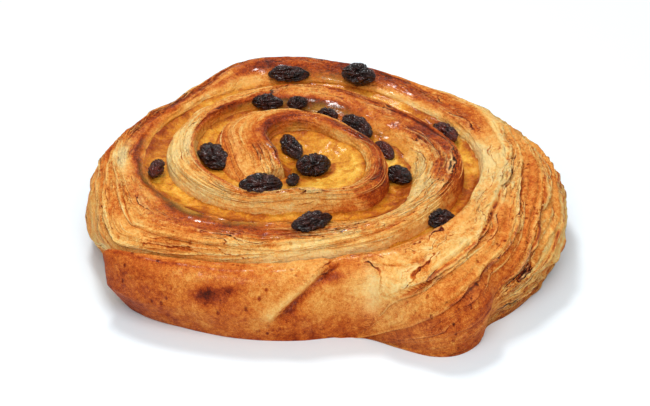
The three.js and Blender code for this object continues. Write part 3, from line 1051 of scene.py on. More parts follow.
@dataclass
class Leaves:
    """The torn edges of the dough's layers, which peel off its flanks in long thin leaves."""

    dough: Dough
    seed: int = 11
    spacing: float = 1.1
    across: int = 5
    thickness: float = 0.24
    ledge: Cut = Cut((12, 36), (1.2, 2.2), (0.2, 0.7), (-0.14, 0.02), (0.1, 0.5), 0.4)
    shred: Cut = Cut((5, 20), (0.7, 1.6), (0.15, 0.7), (-0.18, 0.08), (0.1, 0.6), 1.0)
    thread: Cut = Cut((6, 20), (0.5, 1.0), (0.08, 0.28), (-0.2, 0.0), (0.0, 0.5), 0.6)
    strewn: tuple[Scatter, ...] = (
        Scatter(170, (905, 1106), (2.8, 7.5), shred),
        Scatter(70, (850, 1120), (0.1, 2.4), thread),
        Scatter(120, (170, 850), (0.1, 3.2), thread),
    )
    slope_count: int = 16
    slope_sheets: Span = (-2.8, -0.15)
    ledges: int = 8
    ledge_turns: Span = (842.0, 1132.0)
    ledge_start: Span = (0, 12)
    ledge_gap: Span = (8, 24)
    ledge_above: Span = (0.02, 0.16)
    ledge_share: float = 0.75
    knob_turn: float = 1104.0  # past which only the first two ledges have leaves
    wander: Grain = Grain(0.025, 7, 1, 5, 1)
    tears: tuple[Grain, ...] = (Grain(1.0, 2.2, 1, 6, 1), Grain(0.5, 0.9, 1, 8, 1))
    sway: Grain = Grain(0.25, 9, 1, 9, 1)
    curl: Grain = Grain(0.6, 4, 1, 7, 1)
    zone_width: float = 20.0  # millimetres from zone to zone down the wall
    slope_scale: float = 2.2  # how many times shorter the inner slope is

    def _leaves(self) -> list[Leaf]:
        """Scatter the leaves: along the ledges of the outer wall, between them, and on the inner turns.

        Returns:
            The leaves, each with a seed of its own.
        """
        draw = np.random.default_rng(self.seed)
        leaves: list[Leaf] = []

        def add(turn: float, sheet: float, cut: Cut) -> None:
            """Draw one leaf's sizes from the ranges of its cut."""
            size = [draw.uniform(*span) for span in (cut.length, cut.width, cut.lift, cut.toast, cut.cream)]
            leaves.append(Leaf(turn, sheet, *size, cut.torn, len(leaves)))

        for number in range(1, self.ledges + 1):
            turn = self.ledge_turns[0] + draw.uniform(*self.ledge_start)
            while turn < self.ledge_turns[1]:
                low_knob = turn > self.knob_turn and number > 2
                if not low_knob and draw.uniform() < self.ledge_share:
                    add(turn, number - draw.uniform(*self.ledge_above), self.ledge)
                turn += draw.uniform(*self.ledge_gap)
        slopes = [
            Scatter(self.slope_count, (middle - width, middle + width), self.slope_sheets, self.thread)
            for middle, width in self.dough.bare_slopes
        ]
        for group in (*self.strewn, *slopes):
            for _ in range(group.count):
                add(draw.uniform(*group.turns), draw.uniform(*group.sheets), group.cut)
        return leaves

    def _shape(self, leaf: Leaf) -> tuple[Array, dict[str, Array]]:
        """Lay one leaf on the ribbon.

        Args:
            leaf: The leaf.

        Returns:
            Its closed sections, rows by columns by three in millimetres, and its masks.
        """
        dough = self.dough
        rows = max(6, round(leaf.length / self.spacing))
        radius = float(dough.swirl.across(np.array(leaf.turn))[2])
        end = min(leaf.turn + math.degrees(leaf.length / radius), dough.swirl.tail - 2)
        turn = np.linspace(leaf.turn, end, rows)[:, None]
        share = np.linspace(0, 1, rows)[:, None]
        run = np.radians(turn) * radius
        own = leaf.seed + 0.5
        down = dough.down_at(turn, leaf.sheet) + self.wander.over(run, leaf.seed)
        outside = down > 0 if leaf.sheet > 0 else down < 0
        taper = np.sqrt(np.sin(np.pi * np.clip(share, 0.004, 0.996)))
        taper = taper * ease(np.abs(down), 0.0, 0.04) * outside
        torn = 0.75 + self.sway.over(run, own) + 0.4 * leaf.torn * sum(g.over(run, own) for g in self.tears)
        width = leaf.width * taper * np.clip(torn, 0.15, 1.1)
        over = np.linspace(0, 1, self.across)[None, :]
        root = 1.0 + np.clip(down, -0.85, 1.9)
        zone = root + over * width / self.zone_width * np.where(down < 0, self.slope_scale, 1.0)
        turn = turn + 0 * zone
        lift = leaf.lift * taper * (0.7 + self.curl.over(run, leaf.seed)) * over**1.5
        height = dough.sample(dough.relief, turn, root + 0 * zone) + lift
        height = height + self.thickness * (ease(over, 0, 0.3) * taper - 0.5)
        surface, normal = dough.sample(dough.smooth, turn, zone), dough.sample(dough.normals, turn, zone)
        top = surface + normal * height[..., None]
        under = surface + normal * (height - self.thickness * (1.15 - 0.5 * over))[..., None]
        masks = {name: dough.sample(mask, turn, zone) for name, mask in dough.masks.items()}
        masks["toast"] = np.clip(masks["toast"] + leaf.toast, 0, 1)
        masks["cream"] = np.clip(masks["cream"] + leaf.cream * ease(over, 0.3, 0.9), 0, 1)
        masks["layers"] = np.maximum(masks["layers"], 0.8)
        doubled = {name: np.concatenate([mask, mask[:, ::-1]], axis=1) for name, mask in masks.items()}
        return np.concatenate([top, under[:, ::-1]], axis=1), doubled

    def build(self, place: Array) -> bpy.types.Object:
        """Make all the leaves, as one piece.

        Args:
            place: What is added to every point to bring it into the row frame, in millimetres.

        Returns:
            The new piece.
        """
        bm = bmesh.new()
        masks: dict[str, list[Array]] = {name: [] for name in self.dough.masks}
        count = 0
        bm.verts.layers.int.new("point")
        for leaf in self._leaves():
            points, own = self._shape(leaf)
            sheet = bmesh.new()
            add_loft(sheet, points + place, count)
            mesh = bpy.data.meshes.new("leaf")
            sheet.to_mesh(mesh)
            sheet.free()
            bm.from_mesh(mesh)
            bpy.data.meshes.remove(mesh)
            count += points.shape[0] * points.shape[1]
            for name, mask in own.items():
                masks[name].append(mask.ravel())
        return finished(bm, "dough_leaves", {name: np.concatenate(parts) for name, parts in masks.items()})


# ------------------------------------------------------------------------------------- the custard


@dataclass
class Custard:
    """The custard: a pool in the eye and the layer that winds out from it along the seam."""

    swirl: Swirl
    base: float = 0.5
    pool_start: float = -231.0
    pool_end: float = 135.0
    stop: float = 776.0
    dish: float = 0.8
    overlap: float = 0.3
    lumps: tuple[Grain, ...] = (Grain(0.42, 5, 4, 61), Grain(0.168, 1.6, 1.6, 64))
    step: float = 1.5
    top_columns: int = 18
    pool_overlap: float = 10.0  # degrees that each half of the pool reaches past the other's end
    layer_overlap: float = 12.0  # degrees that the layer reaches into the pool
    layer_dish: float = 0.1
    eye_gap: float = 0.02  # radius that the pool leaves open in the eye
    last_turn: float = 796.0  # past which no lap of the seam has custard
    far_off: float = 50.0  # millimetres added to such a lap, to rule it out
    near_rim: float = 1.5  # millimetres past the flare where the way across the seam counts as 1
    yellow: tuple[Span, ...] = (
        (-20, 50), (60, 40), (205, 14), (320, 30), (350, 14), (535, 16), (600, 22), (655, 16), (705, 12),
    )
    brown: tuple[Span, ...] = ((490, 26), (270, 26), (565, 14), (400, 30), (740, 14))
    patchy: Grain = Grain(0.4, 4, 4, 81)
    cloudy: Grain = Grain(0.12, 6, 6, 83, 1)

    def _top(self, turn: Array, near: Array, middle_drop: float) -> tuple[Array, Array]:
        """Lay the custard's top, from where it climbs the outer turn in to its near edge.

        Args:
            turn: Turn angles, one per row.
            near: Radius of the near edge.
            middle_drop: How far the top sinks at the near edge.

        Returns:
            Radii and heights.
        """
        swirl = self.swirl
        share = np.linspace(0, 1, self.top_columns)
        far = swirl.seam_radius(turn) + swirl.half_seam(turn) + swirl.flare(turn) + self.overlap
        floor = swirl.level(turn)
        edge = floor + swirl.flare_rise * swirl.custard_share(turn)
        radius = lerp(far, near, share)
        height = lerp(edge, floor, ease(share, 0, 0.45)) - middle_drop * ease(share, 0.2, 1.0)
        rows = np.radians(turn) * swirl.seam_radius(turn)
        return radius, height + sum(grain.over(rows, radius) for grain in self.lumps)

    def _rows(self, turns: Array, pool: bool) -> Array:
        """Work out the sections of the pool or of the layer.

        Args:
            turns: The turn angle of each section.
            pool: Whether the sections reach in to the eye.

        Returns:
            Rows by columns of points, in millimetres.
        """
        swirl, turn = self.swirl, turns[:, None]
        half = swirl.half_seam(turn) + self.overlap
        seam = swirl.seam_radius(turn)
        near = 0 * seam + self.eye_gap if pool else seam - half
        radius, height = self._top(turn, near, self.dish if pool else self.layer_dish)
        base, rim = 0 * seam + self.base, swirl.level(turn) - swirl.flare_depth
        radius = np.concatenate([near, seam + half, seam + half, radius], axis=1)
        height = np.concatenate([base, base, rim, height], axis=1)
        return swirl.place(turn, radius, height)

    def build(self, place: Array) -> bpy.types.Object:
        """Make the pool in two overlapping halves and the layer, and join the three.

        Args:
            place: What brings the points into the row frame, in millimetres.

        Returns:
            The new piece.
        """
        split = (self.pool_start + self.pool_end) / 2
        spans = (
            (self.pool_start, split + self.pool_overlap, True),
            (split - self.pool_overlap, self.pool_end, True),
            (self.pool_end - self.layer_overlap, self.stop, False),
        )
        parts = []
        for i, (start, end, pool) in enumerate(spans):
            turns = np.linspace(start, end, round((end - start) / self.step))
            bm = bmesh.new()
            add_loft(bm, self._rows(turns, pool) + place)
            parts.append(finished(bm, f"custard_part_{i}"))
        whole = parts[0]
        for part in parts[1:]:
            union = whole.modifiers.new("union", "BOOLEAN")
            union.operation, union.solver, union.object = "UNION", "EXACT", part
        apply_modifiers(whole)
        for part in parts[1:]:
            bpy.data.objects.remove(part)
        whole.name = "custard_filling"
        self._tint(whole.data, place)
        return whole

    def _tint(self, mesh: bpy.types.Mesh, place: Array) -> None:
        """Write the masks amber, where the custard browned rather than staying yellow, and toast.

        Args:
            mesh: The finished mesh, in the row frame.
            place: What was added to the swirl's own millimetres.
        """
        flat = np.zeros(len(mesh.vertices) * 3)
        mesh.vertices.foreach_get("co", flat)
        points = flat.reshape(-1, 3) / MM - place
        x, y = points[:, 0] - self.swirl.eye[0], self.swirl.eye[1] - points[:, 1]
        radius, angle = np.hypot(x, y), np.degrees(np.arctan2(y, x)) % TURN
        laps = angle[:, None] + TURN * np.array([-1, 0, 1, 2])
        off = np.abs(self.swirl.seam_radius(laps) - radius[:, None]) + self.far_off * (laps > self.last_turn)
        turn = np.take_along_axis(laps, off.argmin(axis=1)[:, None], axis=1)[:, 0]
        yellow, brown = (
            sum(bump(turn, middle, width) for middle, width in spots) for spots in (self.yellow, self.brown)
        )
        cross = (radius - self.swirl.seam_radius(turn)) / (self.swirl.flare(turn) + self.near_rim)
        patchy = yellow + self.patchy.over(points[:, 0], points[:, 1])
        amber = 1 - np.clip(patchy, 0, 1) * ease(cross, 0.9, 0.45)
        toast = 0.08 + 0.2 * (ease(cross, 0.2, 1.0) + brown) + self.cloudy.over(points[:, 0], points[:, 1])
        for name, values in (("amber", amber), ("toast", toast)):
            mask = mesh.attributes.new(name, "FLOAT", "POINT")
            mask.data.foreach_set("value", values.astype(np.float32))


def apply_modifiers(piece: bpy.types.Object) -> None:
    """Bake a piece's modifiers into its mesh.

    Args:
        piece: The piece, whose modifiers are then gone.
    """
    bpy.context.view_layer.update()
    graph = bpy.context.evaluated_depsgraph_get()
    mesh = bpy.data.meshes.new_from_object(piece.evaluated_get(graph))
    piece.modifiers.clear()
    piece.data = mesh
    mesh.polygons.foreach_set("use_smooth", [True] * len(mesh.polygons))


# ------------------------------------------------------------------------------------- the raisins


class Skin(Enum):
    """How a raisin's skin looks."""

    BLACK = "black"
    RED = "red"


@dataclass(frozen=True)
class Raisin:
    """One raisin: its length, width and thickness in millimetres, which way it points, and its skin."""

    size: tuple[float, float, float]
    yaw: float
    dip: float = 0.0
    skin: Skin = Skin.BLACK


@dataclass
class Raisins:
    """The raisins, each wrinkled in its own way, where the frame has them."""

    kinds: tuple[Raisin, ...] = (
        Raisin((10.4, 6.4, 4.6), 0),
        Raisin((8.8, 8, 6), -20),
        Raisin((8, 5.8, 4.2), -8),
        Raisin((5.2, 4.4, 3.8), 15),
        Raisin((5.4, 4.2, 3.6), -20),
        Raisin((10, 6, 5), -50, 6),
        Raisin((7.4, 4.6, 4), -56, 4, Skin.RED),
        Raisin((7, 5.8, 4.8), -40),
        Raisin((8.4, 5.8, 4.8), -52, 0, Skin.RED),
        Raisin((7.2, 4.2, 4), 78, 0, Skin.RED),
        Raisin((11.2, 7.6, 5.8), -62),
        Raisin((10.2, 8, 5.4), 2),
        Raisin((9.8, 5.2, 4.8), -68, 4),
        Raisin((8.4, 7.4, 5.6), 10),
        Raisin((4.2, 3.2, 3), 60),
        Raisin((10.2, 5.8, 4.8), 24),
        Raisin((7.2, 6, 4.8), 8),
    )
    subdivisions: int = 6
    taper: float = 0.12
    furrows: int = 4
    depths: tuple[float, float, float] = (0.26, 0.24, 0.12)

    def build(self, number: int) -> bpy.types.Object:
        """Make one raisin.

        Args:
            number: Its number, from 1, which also names its node.

        Returns:
            The new piece.
        """
        raisin = self.kinds[number - 1]
        low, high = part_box(f"raisin_{number:02d}")
        bm = bmesh.new()
        bmesh.ops.create_icosphere(bm, subdivisions=self.subdivisions, radius=1.0)
        co = np.array([v.co for v in bm.verts])
        co = co * self._furrows(co, number)[:, None]
        co[:, 1:] *= 1 - self.taper * co[:, :1] ** 2
        for vertex, point in zip(bm.verts, co * np.array(raisin.size) / 2 * MM):
            vertex.co = point
        turned = Euler((0, math.radians(raisin.dip), 0)).to_matrix()
        turned = Euler((0, 0, math.radians(raisin.yaw))).to_matrix() @ turned
        bmesh.ops.transform(bm, matrix=Matrix.Translation((low + high) / 2) @ turned.to_4x4(), verts=bm.verts)
        return finished(bm, f"raisin_fruit_{number:02d}")

    def _furrows(self, co: Array, number: int) -> Array:
        """Wrinkle a unit ball: deep furrows along it, folds that wander, and small ones between them.

        Args:
            co: The ball's points.
            number: The raisin's number, which picks its wrinkles.

        Returns:
            What each point is multiplied by.
        """
        around = np.arctan2(co[:, 2], co[:, 1])
        girth = np.hypot(co[:, 1], co[:, 2])
        ring = np.stack([np.cos(around), np.sin(around)], axis=1)
        warp = 0.5 * noise(co[:, 0] * 2.2, ring[:, 0] * 1.5 + ring[:, 1], 70 + number)
        furrow = np.abs(np.sin(self.furrows * (around + warp) + 1.4 * co[:, 0] + number))
        fold = np.abs(noise(co[:, 0] * 1.8 + 5, ring[:, 0] * 3 + 2 * ring[:, 1] + number, 71))
        small = np.abs(noise(co[:, 0] * 5, ring[:, 0] * 6 + 4 * ring[:, 1], 90 + number))
        deep, middling, slight = self.depths
        return 1.05 - girth * (
            deep * (1 - furrow) ** 2 + middling * (1 - fold) ** 3 + slight * (1 - small) ** 2
        )


# ------------------------------------------------------------------------------------- shading


Ramp = tuple[tuple[float, str], ...]
Socket = bpy.types.NodeSocket


def linear(colour: str) -> tuple[float, float, float, float]:
    """Turn a #rrggbb screen colour into a linear one."""
    parts = [int(colour[i : i + 2], 16) / 255 for i in (1, 3, 5)]
    return (*(c / 12.92 if c <= 0.04045 else ((c + 0.055) / 1.055) ** 2.4 for c in parts), 1.0)


@dataclass(frozen=True)
class Cloud:
    """The settings of a noise texture: its scale, detail, roughness and distortion."""

    scale: object
    detail: float = 3.0
    roughness: float = 0.55
    warp: float = 0.0


@dataclass
class Wiring:
    """A node tree, and short calls that add nodes to it and return their outputs."""

    tree: bpy.types.NodeTree

    def node(self, kind: str, **settings: object) -> bpy.types.Node:
        """Add a node.

        Args:
            kind: Its type.
            **settings: Its properties.

        Returns:
            The new node.
        """
        node = self.tree.nodes.new(kind)
        for key, value in settings.items():
            setattr(node, key, value)
        return node

    def feed(self, socket: Socket, value: object) -> None:
        """Link an output to a socket, or set the socket to a value.

        Args:
            socket: The socket.
            value: Another node's output, a number, a vector or a colour.
        """
        if isinstance(value, Socket):
            self.tree.links.new(value, socket)
        else:
            socket.default_value = value

    def feed_all(self, node: bpy.types.Node, values: dict[str, object]) -> None:
        """Feed a node's inputs by their names."""
        for name, value in values.items():
            self.feed(node.inputs[name], value)

    def wired(self, kind: str, *values: object, **settings: object) -> Socket:
        """Add a node and feed its inputs.

        Args:
            kind: The node's type.
            *values: What its inputs take, in their order.
            **settings: Its properties.

        Returns:
            Its first output.
        """
        node = self.node(kind, **settings)
        for socket, value in zip(node.inputs, values):
            self.feed(socket, value)
        return node.outputs[0]

    def attribute(self, name: str) -> Socket:
        """Read one of the mesh's masks."""
        return self.node("ShaderNodeAttribute", attribute_name=name).outputs["Fac"]

    def space(self) -> Socket:
        """Give places in the object's own coordinates."""
        return self.node("ShaderNodeTexCoord").outputs["Object"]

    def math(self, operation: str, *values: object) -> Socket:
        """Do arithmetic."""
        return self.wired("ShaderNodeMath", *values, operation=operation)

    def span(self, value: object, low: float, high: float, start: float = 0.0, end: float = 1.0) -> Socket:
        """Map a range of values onto another, smoothly and within it."""
        return self.wired("ShaderNodeMapRange", value, low, high, start, end, interpolation_type="SMOOTHSTEP")

    def vector(self, x: object, y: object, z: object = 0.0) -> Socket:
        """Put three numbers together."""
        return self.wired("ShaderNodeCombineXYZ", x, y, z)

    def centred(self, value: object, strength: float) -> Socket:
        """Turn noise from 0 to 1 into a swing about nought."""
        return self.math("MULTIPLY", self.math("SUBTRACT", value, 0.5), strength)

    def noise(self, vector: object, cloud: Cloud) -> Socket:
        """Add smooth noise.

        Args:
            vector: Where the noise is read.
            cloud: Its settings.

        Returns:
            Values from 0 to 1.
        """
        node = self.node("ShaderNodeTexNoise")
        shape = {"Scale": cloud.scale, "Detail": cloud.detail, "Roughness": cloud.roughness}
        self.feed_all(node, {"Vector": vector, "Distortion": cloud.warp} | shape)
        return node.outputs[0]

    def speckle(self, vector: object, scale: float, contrast: float) -> tuple[Socket, Socket]:
        """Place the shared grain.

        Args:
            vector: Where it is read.
            scale: How fine it is.
            contrast: How far its tone swings.

        Returns:
            Its tone about nought, and its height from 0 to 1.
        """
        node = self.node("ShaderNodeGroup", node_tree=speckle_group())
        self.feed_all(node, {"Vector": vector, "Scale": scale, "Contrast": contrast})
        return node.outputs["Tone"], node.outputs["Height"]

    def mix(self, share: object, first: object, second: object) -> Socket:
        """Blend two colours.

        Args:
            share: How much there is of the second, from 0 to 1.
            first: One colour.
            second: The other.

        Returns:
            The blend.
        """
        node = self.node("ShaderNodeMix", data_type="RGBA")
        for socket, value in zip((node.inputs[0], node.inputs[6], node.inputs[7]), (share, first, second)):
            self.feed(socket, value)
        return node.outputs[2]

    def ramp(self, value: object, stops: Ramp) -> Socket:
        """Turn numbers into colours.

        Args:
            value: The numbers.
            stops: Numbers and the colours that they turn into.

        Returns:
            The colours.
        """
        node = self.node("ShaderNodeValToRGB")
        elements = node.color_ramp.elements
        while len(elements) < len(stops):
            elements.new(0.5)
        for element, (at, colour) in zip(elements, stops):
            element.position, element.color = at, linear(colour)
        self.feed(node.inputs[0], value)
        return node.outputs[0]

    def relief(self, height: object, depth: float, after: Socket | None = None) -> Socket:
        """Bump the surface.

        Args:
            height: Its height, from 0 to 1.
            depth: What a height of 1 stands for, in metres.
            after: The normal that the bump is added to, if there is one.

        Returns:
            The new normal.
        """
        node = self.node("ShaderNodeBump")
        self.feed_all(node, {"Height": height, "Distance": depth})
        if after is not None:
            self.feed(node.inputs["Normal"], after)
        return node.outputs[0]


def speckle_group() -> bpy.types.NodeTree:
    """Build once the grain that crust, custard and fruit share.

    Returns:
        A group that turns a place, a scale and a contrast into a tone and a height.
    """
    name = "speckle"
    if name in bpy.data.node_groups:
        return bpy.data.node_groups[name]
    tree = bpy.data.node_groups.new(name, "ShaderNodeTree")
    inputs = {"Vector": "NodeSocketVector", "Scale": "NodeSocketFloat", "Contrast": "NodeSocketFloat"}
    for socket, kind in inputs.items():
        tree.interface.new_socket(socket, in_out="INPUT", socket_type=kind)
    for socket in ("Tone", "Height"):
        tree.interface.new_socket(socket, in_out="OUTPUT", socket_type="NodeSocketFloat")
    w = Wiring(tree)
    given, out = w.node("NodeGroupInput").outputs, w.node("NodeGroupOutput").inputs
    coarse = w.noise(given["Vector"], Cloud(given["Scale"], 3.0, 0.7, 0.3))
    fine = w.noise(given["Vector"], Cloud(w.math("MULTIPLY", given["Scale"], 3.7), 2.0, 0.6))
    both = w.math("MULTIPLY_ADD", fine, 0.5, w.math("MULTIPLY", coarse, 0.5))
    w.feed(out["Tone"], w.math("MULTIPLY", w.math("SUBTRACT", both, 0.5), given["Contrast"]))
    w.feed(out["Height"], both)
    return tree


def new_material(name: str, plain: dict[str, object]) -> tuple[bpy.types.Material, Wiring, bpy.types.Node]:
    """Start a material.

    Args:
        name: Its name.
        plain: The shader's sockets that are the same all over the surface.

    Returns:
        The material, its node tree's wiring, and its shader.
    """
    material = bpy.data.materials.new(name)
    material.use_nodes = True
    wiring, shader = Wiring(material.node_tree), material.node_tree.nodes["Principled BSDF"]
    wiring.feed_all(shader, plain)
    return material, wiring, shader


@dataclass(frozen=True)
class Streak:
    """Noise drawn out along the ribbon: its grains' length and width in millimetres, and its seed."""

    length: float
    width: float
    seed: float
    detail: float = 3.0
    warp: float = 0.0


@dataclass
class RibbonWiring(Wiring):
    """A node tree whose patterns are laid out along the ribbon and over its layers."""

    along: Socket = field(init=False)
    layer: Socket = field(init=False)

    def __post_init__(self) -> None:
        """Read the two distances, in millimetres."""
        self.along, self.layer = self.attribute("along"), self.attribute("layer")

    def streak(self, streak: Streak) -> Socket:
        """Add noise that is drawn out along the ribbon."""
        x, y = self.math("DIVIDE", self.along, streak.length), self.math("DIVIDE", self.layer, streak.width)
        return self.noise(self.vector(x, y, streak.seed), Cloud(1.0, streak.detail, 0.6, streak.warp))

    def flakes(self, streak: Streak, over: Socket) -> tuple[Socket, ...]:
        """Overlap thin sheets.

        Args:
            streak: How long and how wide they are.
            over: The distance over the layers.

        Returns:
            Their lips, which carry a painted highlight, the gaps under them, which carry painted shade, and
            their height.
        """
        count = self.math("DIVIDE", over, streak.width)
        tile, sheet = self.math("FRACT", count), self.math("FLOOR", count)
        own = self.vector(
            self.math("DIVIDE", self.along, streak.length), self.math("MULTIPLY", sheet, 5.7), streak.seed
        )
        torn = self.span(self.noise(own, Cloud(1.0, streak.detail)), 0.44, 0.6)
        lip = self.math("MULTIPLY", self.span(tile, 0.55, 0.82), self.span(tile, 0.93, 0.86))
        shaded_gap = self.span(tile, 0.86, 0.95)
        rise = self.math("MULTIPLY", tile, self.span(tile, 0.99, 0.88))
        return tuple(self.math("MULTIPLY", part, torn) for part in (lip, shaded_gap, rise))


@dataclass(frozen=True)
class Crust:
    """Baked laminated dough: pale gold to dark caramel, streaked along its layers, glazed in places."""

    browning: Ramp = (
        (0.0, "#ffdb92"),
        (0.14, "#fdc873"),
        (0.3, "#f3a850"),
        (0.46, "#df7f2e"),
        (0.6, "#c35818"),
        (0.74, "#99370b"),
        (0.88, "#681f05"),
        (1.0, "#431507"),
    )
    cream: str = "#ffdda4"
    honey: str = "#e8a23c"
    drift: tuple[tuple[Streak, float], ...] = (
        (Streak(15.0, 4.5, 4.5, 1.0), 7.0),
        (Streak(3.6, 1.5, 6.5, 2.0), 1.8),
    )
    sheets: tuple[Streak, Streak] = (Streak(9.0, 1.9, 12.5, 1.0), Streak(4.0, 0.75, 15.5, 1.0))
    # The small sheets' lips carry a painted highlight and their gaps painted shade.
    small_shares: tuple[float, float, float] = (0.6, 0.6, 0.4)  # of the small sheets' lips, gaps and height
    blotch: Streak = Streak(12.0, 6.0, 1.5, 4.0, 0.6)
    thread: Streak = Streak(3.5, 0.5, 3.5, 2.0, 0.4)
    flaky: Streak = Streak(10.0, 5.0, 9.5, 2.0)
    mottle: Cloud = Cloud(330.0, 4.0, 0.65, 0.5)
    speckle: Span = (1100.0, 1.3)
    pit_scale: tuple[float, float, float] = (520.0, 520.0, 300.0)
    pit_clouds: Cloud = Cloud(150.0, 2.0)
    smudges: Cloud = Cloud(300.0, 3.0)
    sparkles: Cloud = Cloud(900.0, 2.0)
    crumble: Cloud = Cloud(600.0, 4.0, 0.7)

    def _pits(self, w: Wiring, space: Socket) -> Socket:
        """Scatter small dark pits, in clouds.

        Args:
            w: The material's wiring.
            space: Places on the piece.

        Returns:
            How much of a pit there is, from 0 to 1.
        """
        stretched = w.wired("ShaderNodeVectorMath", space, self.pit_scale, operation="MULTIPLY")
        cells = w.node("ShaderNodeTexVoronoi")
        w.feed_all(cells, {"Vector": stretched, "Scale": 1.0})
        pit = w.span(cells.outputs["Distance"], 0.26, 0.12)
        pit = w.math("MULTIPLY", pit, w.span(w.noise(space, self.pit_clouds), 0.46, 0.56))
        return w.math("MULTIPLY", pit, w.attribute("freckle"))

    def material(self) -> bpy.types.Material:
        """Wire the material.

        Returns:
            The new material.
        """
        plain = {"Coat Roughness": 0.13, "Specular IOR Level": 0.12, "Subsurface Weight": 0.1}
        plain |= {"Subsurface Radius": (1.0, 0.5, 0.2), "Subsurface Scale": 0.0012}
        material, _, shader = new_material("crust", plain)
        w = RibbonWiring(material.node_tree)
        space = w.space()
        blotch, thread = w.streak(self.blotch), w.streak(self.thread)
        grain, rise = w.speckle(space, *self.speckle)
        pit = self._pits(w, space)

        flaky = w.math("MULTIPLY", w.attribute("layers"), w.span(w.streak(self.flaky), 0.38, 0.58))
        drift = w.math("ADD", *(w.centred(w.streak(streak), strength) for streak, strength in self.drift))
        over = w.math("ADD", w.layer, drift)
        large, small = (w.flakes(streak, over) for streak in self.sheets)
        lit_lips, shaded_gaps, steps = (
            w.math("MULTIPLY", w.math("MULTIPLY_ADD", fine, share, coarse), flaky)
            for fine, share, coarse in zip(small, self.small_shares, large)
        )
        # pale is the cream mask together with the painted highlight on the sheets' lips.
        pale = w.math("MULTIPLY_ADD", lit_lips, 0.7, w.attribute("cream"))

        calm = w.span(w.attribute("freckle"), 0.3, 0.9, 0.85, 0.5)
        tone = w.math("MULTIPLY_ADD", w.centred(blotch, 1.0), calm, w.attribute("toast"))
        threads = w.math("MULTIPLY", w.centred(thread, 0.7), w.math("MULTIPLY_ADD", flaky, 0.7, 0.08))
        fleck = w.math("MULTIPLY", grain, w.math("MULTIPLY_ADD", flaky, 0.6, 0.75))
        mottle = w.centred(w.noise(space, self.mottle), 0.5)
        tone = w.math("ADD", w.math("ADD", tone, threads), w.math("ADD", mottle, fleck))
        # The painted highlight on the lips lightens the tone, painted shade in the gaps under the sheets
        # darkens it, and the pits darken it.
        for part, strength in ((pale, -0.3), (shaded_gaps, 0.8), (pit, 0.26)):
            tone = w.math("MULTIPLY_ADD", part, strength, tone)
        smear = w.math("MULTIPLY", w.attribute("honey"), w.span(blotch, 0.35, 0.65, 0.1, 0.7))
        colour = w.mix(smear, w.ramp(tone, self.browning), linear(self.honey))
        # The cream colour goes where pale is: cream dough, and the painted highlights on the sheets' lips and
        # on the left crest.
        colour = w.mix(w.math("MULTIPLY", pale, 0.35), colour, linear(self.cream))
        w.feed(shader.inputs["Base Color"], colour)

        smudge = w.span(w.noise(space, self.smudges), 0.3, 0.6, 0.2)
        gloss = w.math("MULTIPLY", w.attribute("gloss"), smudge)
        sparkle = w.span(w.noise(space, self.sparkles), 0.5, 0.6, 0.12, 0.75)
        w.feed(shader.inputs["Coat Weight"], w.math("MULTIPLY", gloss, sparkle))
        w.feed(shader.inputs["Roughness"], w.span(gloss, 0.0, 0.8, 0.66, 0.24))

        height = w.math("MULTIPLY_ADD", thread, w.math("MULTIPLY_ADD", flaky, 0.4, 0.1), steps)
        normal = w.relief(w.math("MULTIPLY_ADD", pit, -0.5, height), 0.001)
        normal = w.relief(w.noise(space, self.crumble), 0.001, normal)
        w.feed(shader.inputs["Normal"], w.relief(rise, 0.0005, normal))
        return material


@dataclass(frozen=True)
class Filling:
    """Baked custard: moist, yellow where it lies deep and amber where it browned, a little see-through."""

    yellow: Ramp = ((0.3, "#bf6f1c"), (0.46, "#dc942a"), (0.58, "#edb23e"), (0.75, "#f8cf68"))
    amber: Ramp = (
        (0.0, "#8c380a"),
        (0.2, "#b25a12"),
        (0.38, "#d3841f"),
        (0.56, "#e4a23d"),
        (0.75, "#f0bd62"),
    )
    cloud: Cloud = Cloud(260.0, 4.0, 0.6, 0.4)
    speckle: Span = (700.0, 0.8)
    smudges: Cloud = Cloud(400.0)
    lumps: Cloud = Cloud(420.0, 4.0, 0.6)

    def material(self) -> bpy.types.Material:
        """Wire the material.

        Returns:
            The new material.
        """
        plain = {"Specular IOR Level": 0.15, "Coat Weight": 0.16, "Coat Roughness": 0.1}
        plain |= {"Subsurface Weight": 0.2, "Subsurface Radius": (1.0, 0.6, 0.15), "Subsurface Scale": 0.0015}
        material, w, shader = new_material("custard", plain)
        space = w.space()
        grain, rise = w.speckle(space, *self.speckle)
        tone = w.math("ADD", w.noise(space, self.cloud), grain)
        brown = w.ramp(w.math("SUBTRACT", tone, w.attribute("toast")), self.amber)
        w.feed(shader.inputs["Base Color"], w.mix(w.attribute("amber"), w.ramp(tone, self.yellow), brown))
        w.feed(shader.inputs["Roughness"], w.span(w.noise(space, self.smudges), 0.3, 0.7, 0.22, 0.5))
        normal = w.relief(w.noise(space, self.lumps), 0.0012)
        w.feed(shader.inputs["Normal"], w.relief(rise, 0.0004, normal))
        return material


SKIN_TONES = {Skin.BLACK: ("#0d0402", "#4c1d12"), Skin.RED: ("#240904", "#6e2616")}


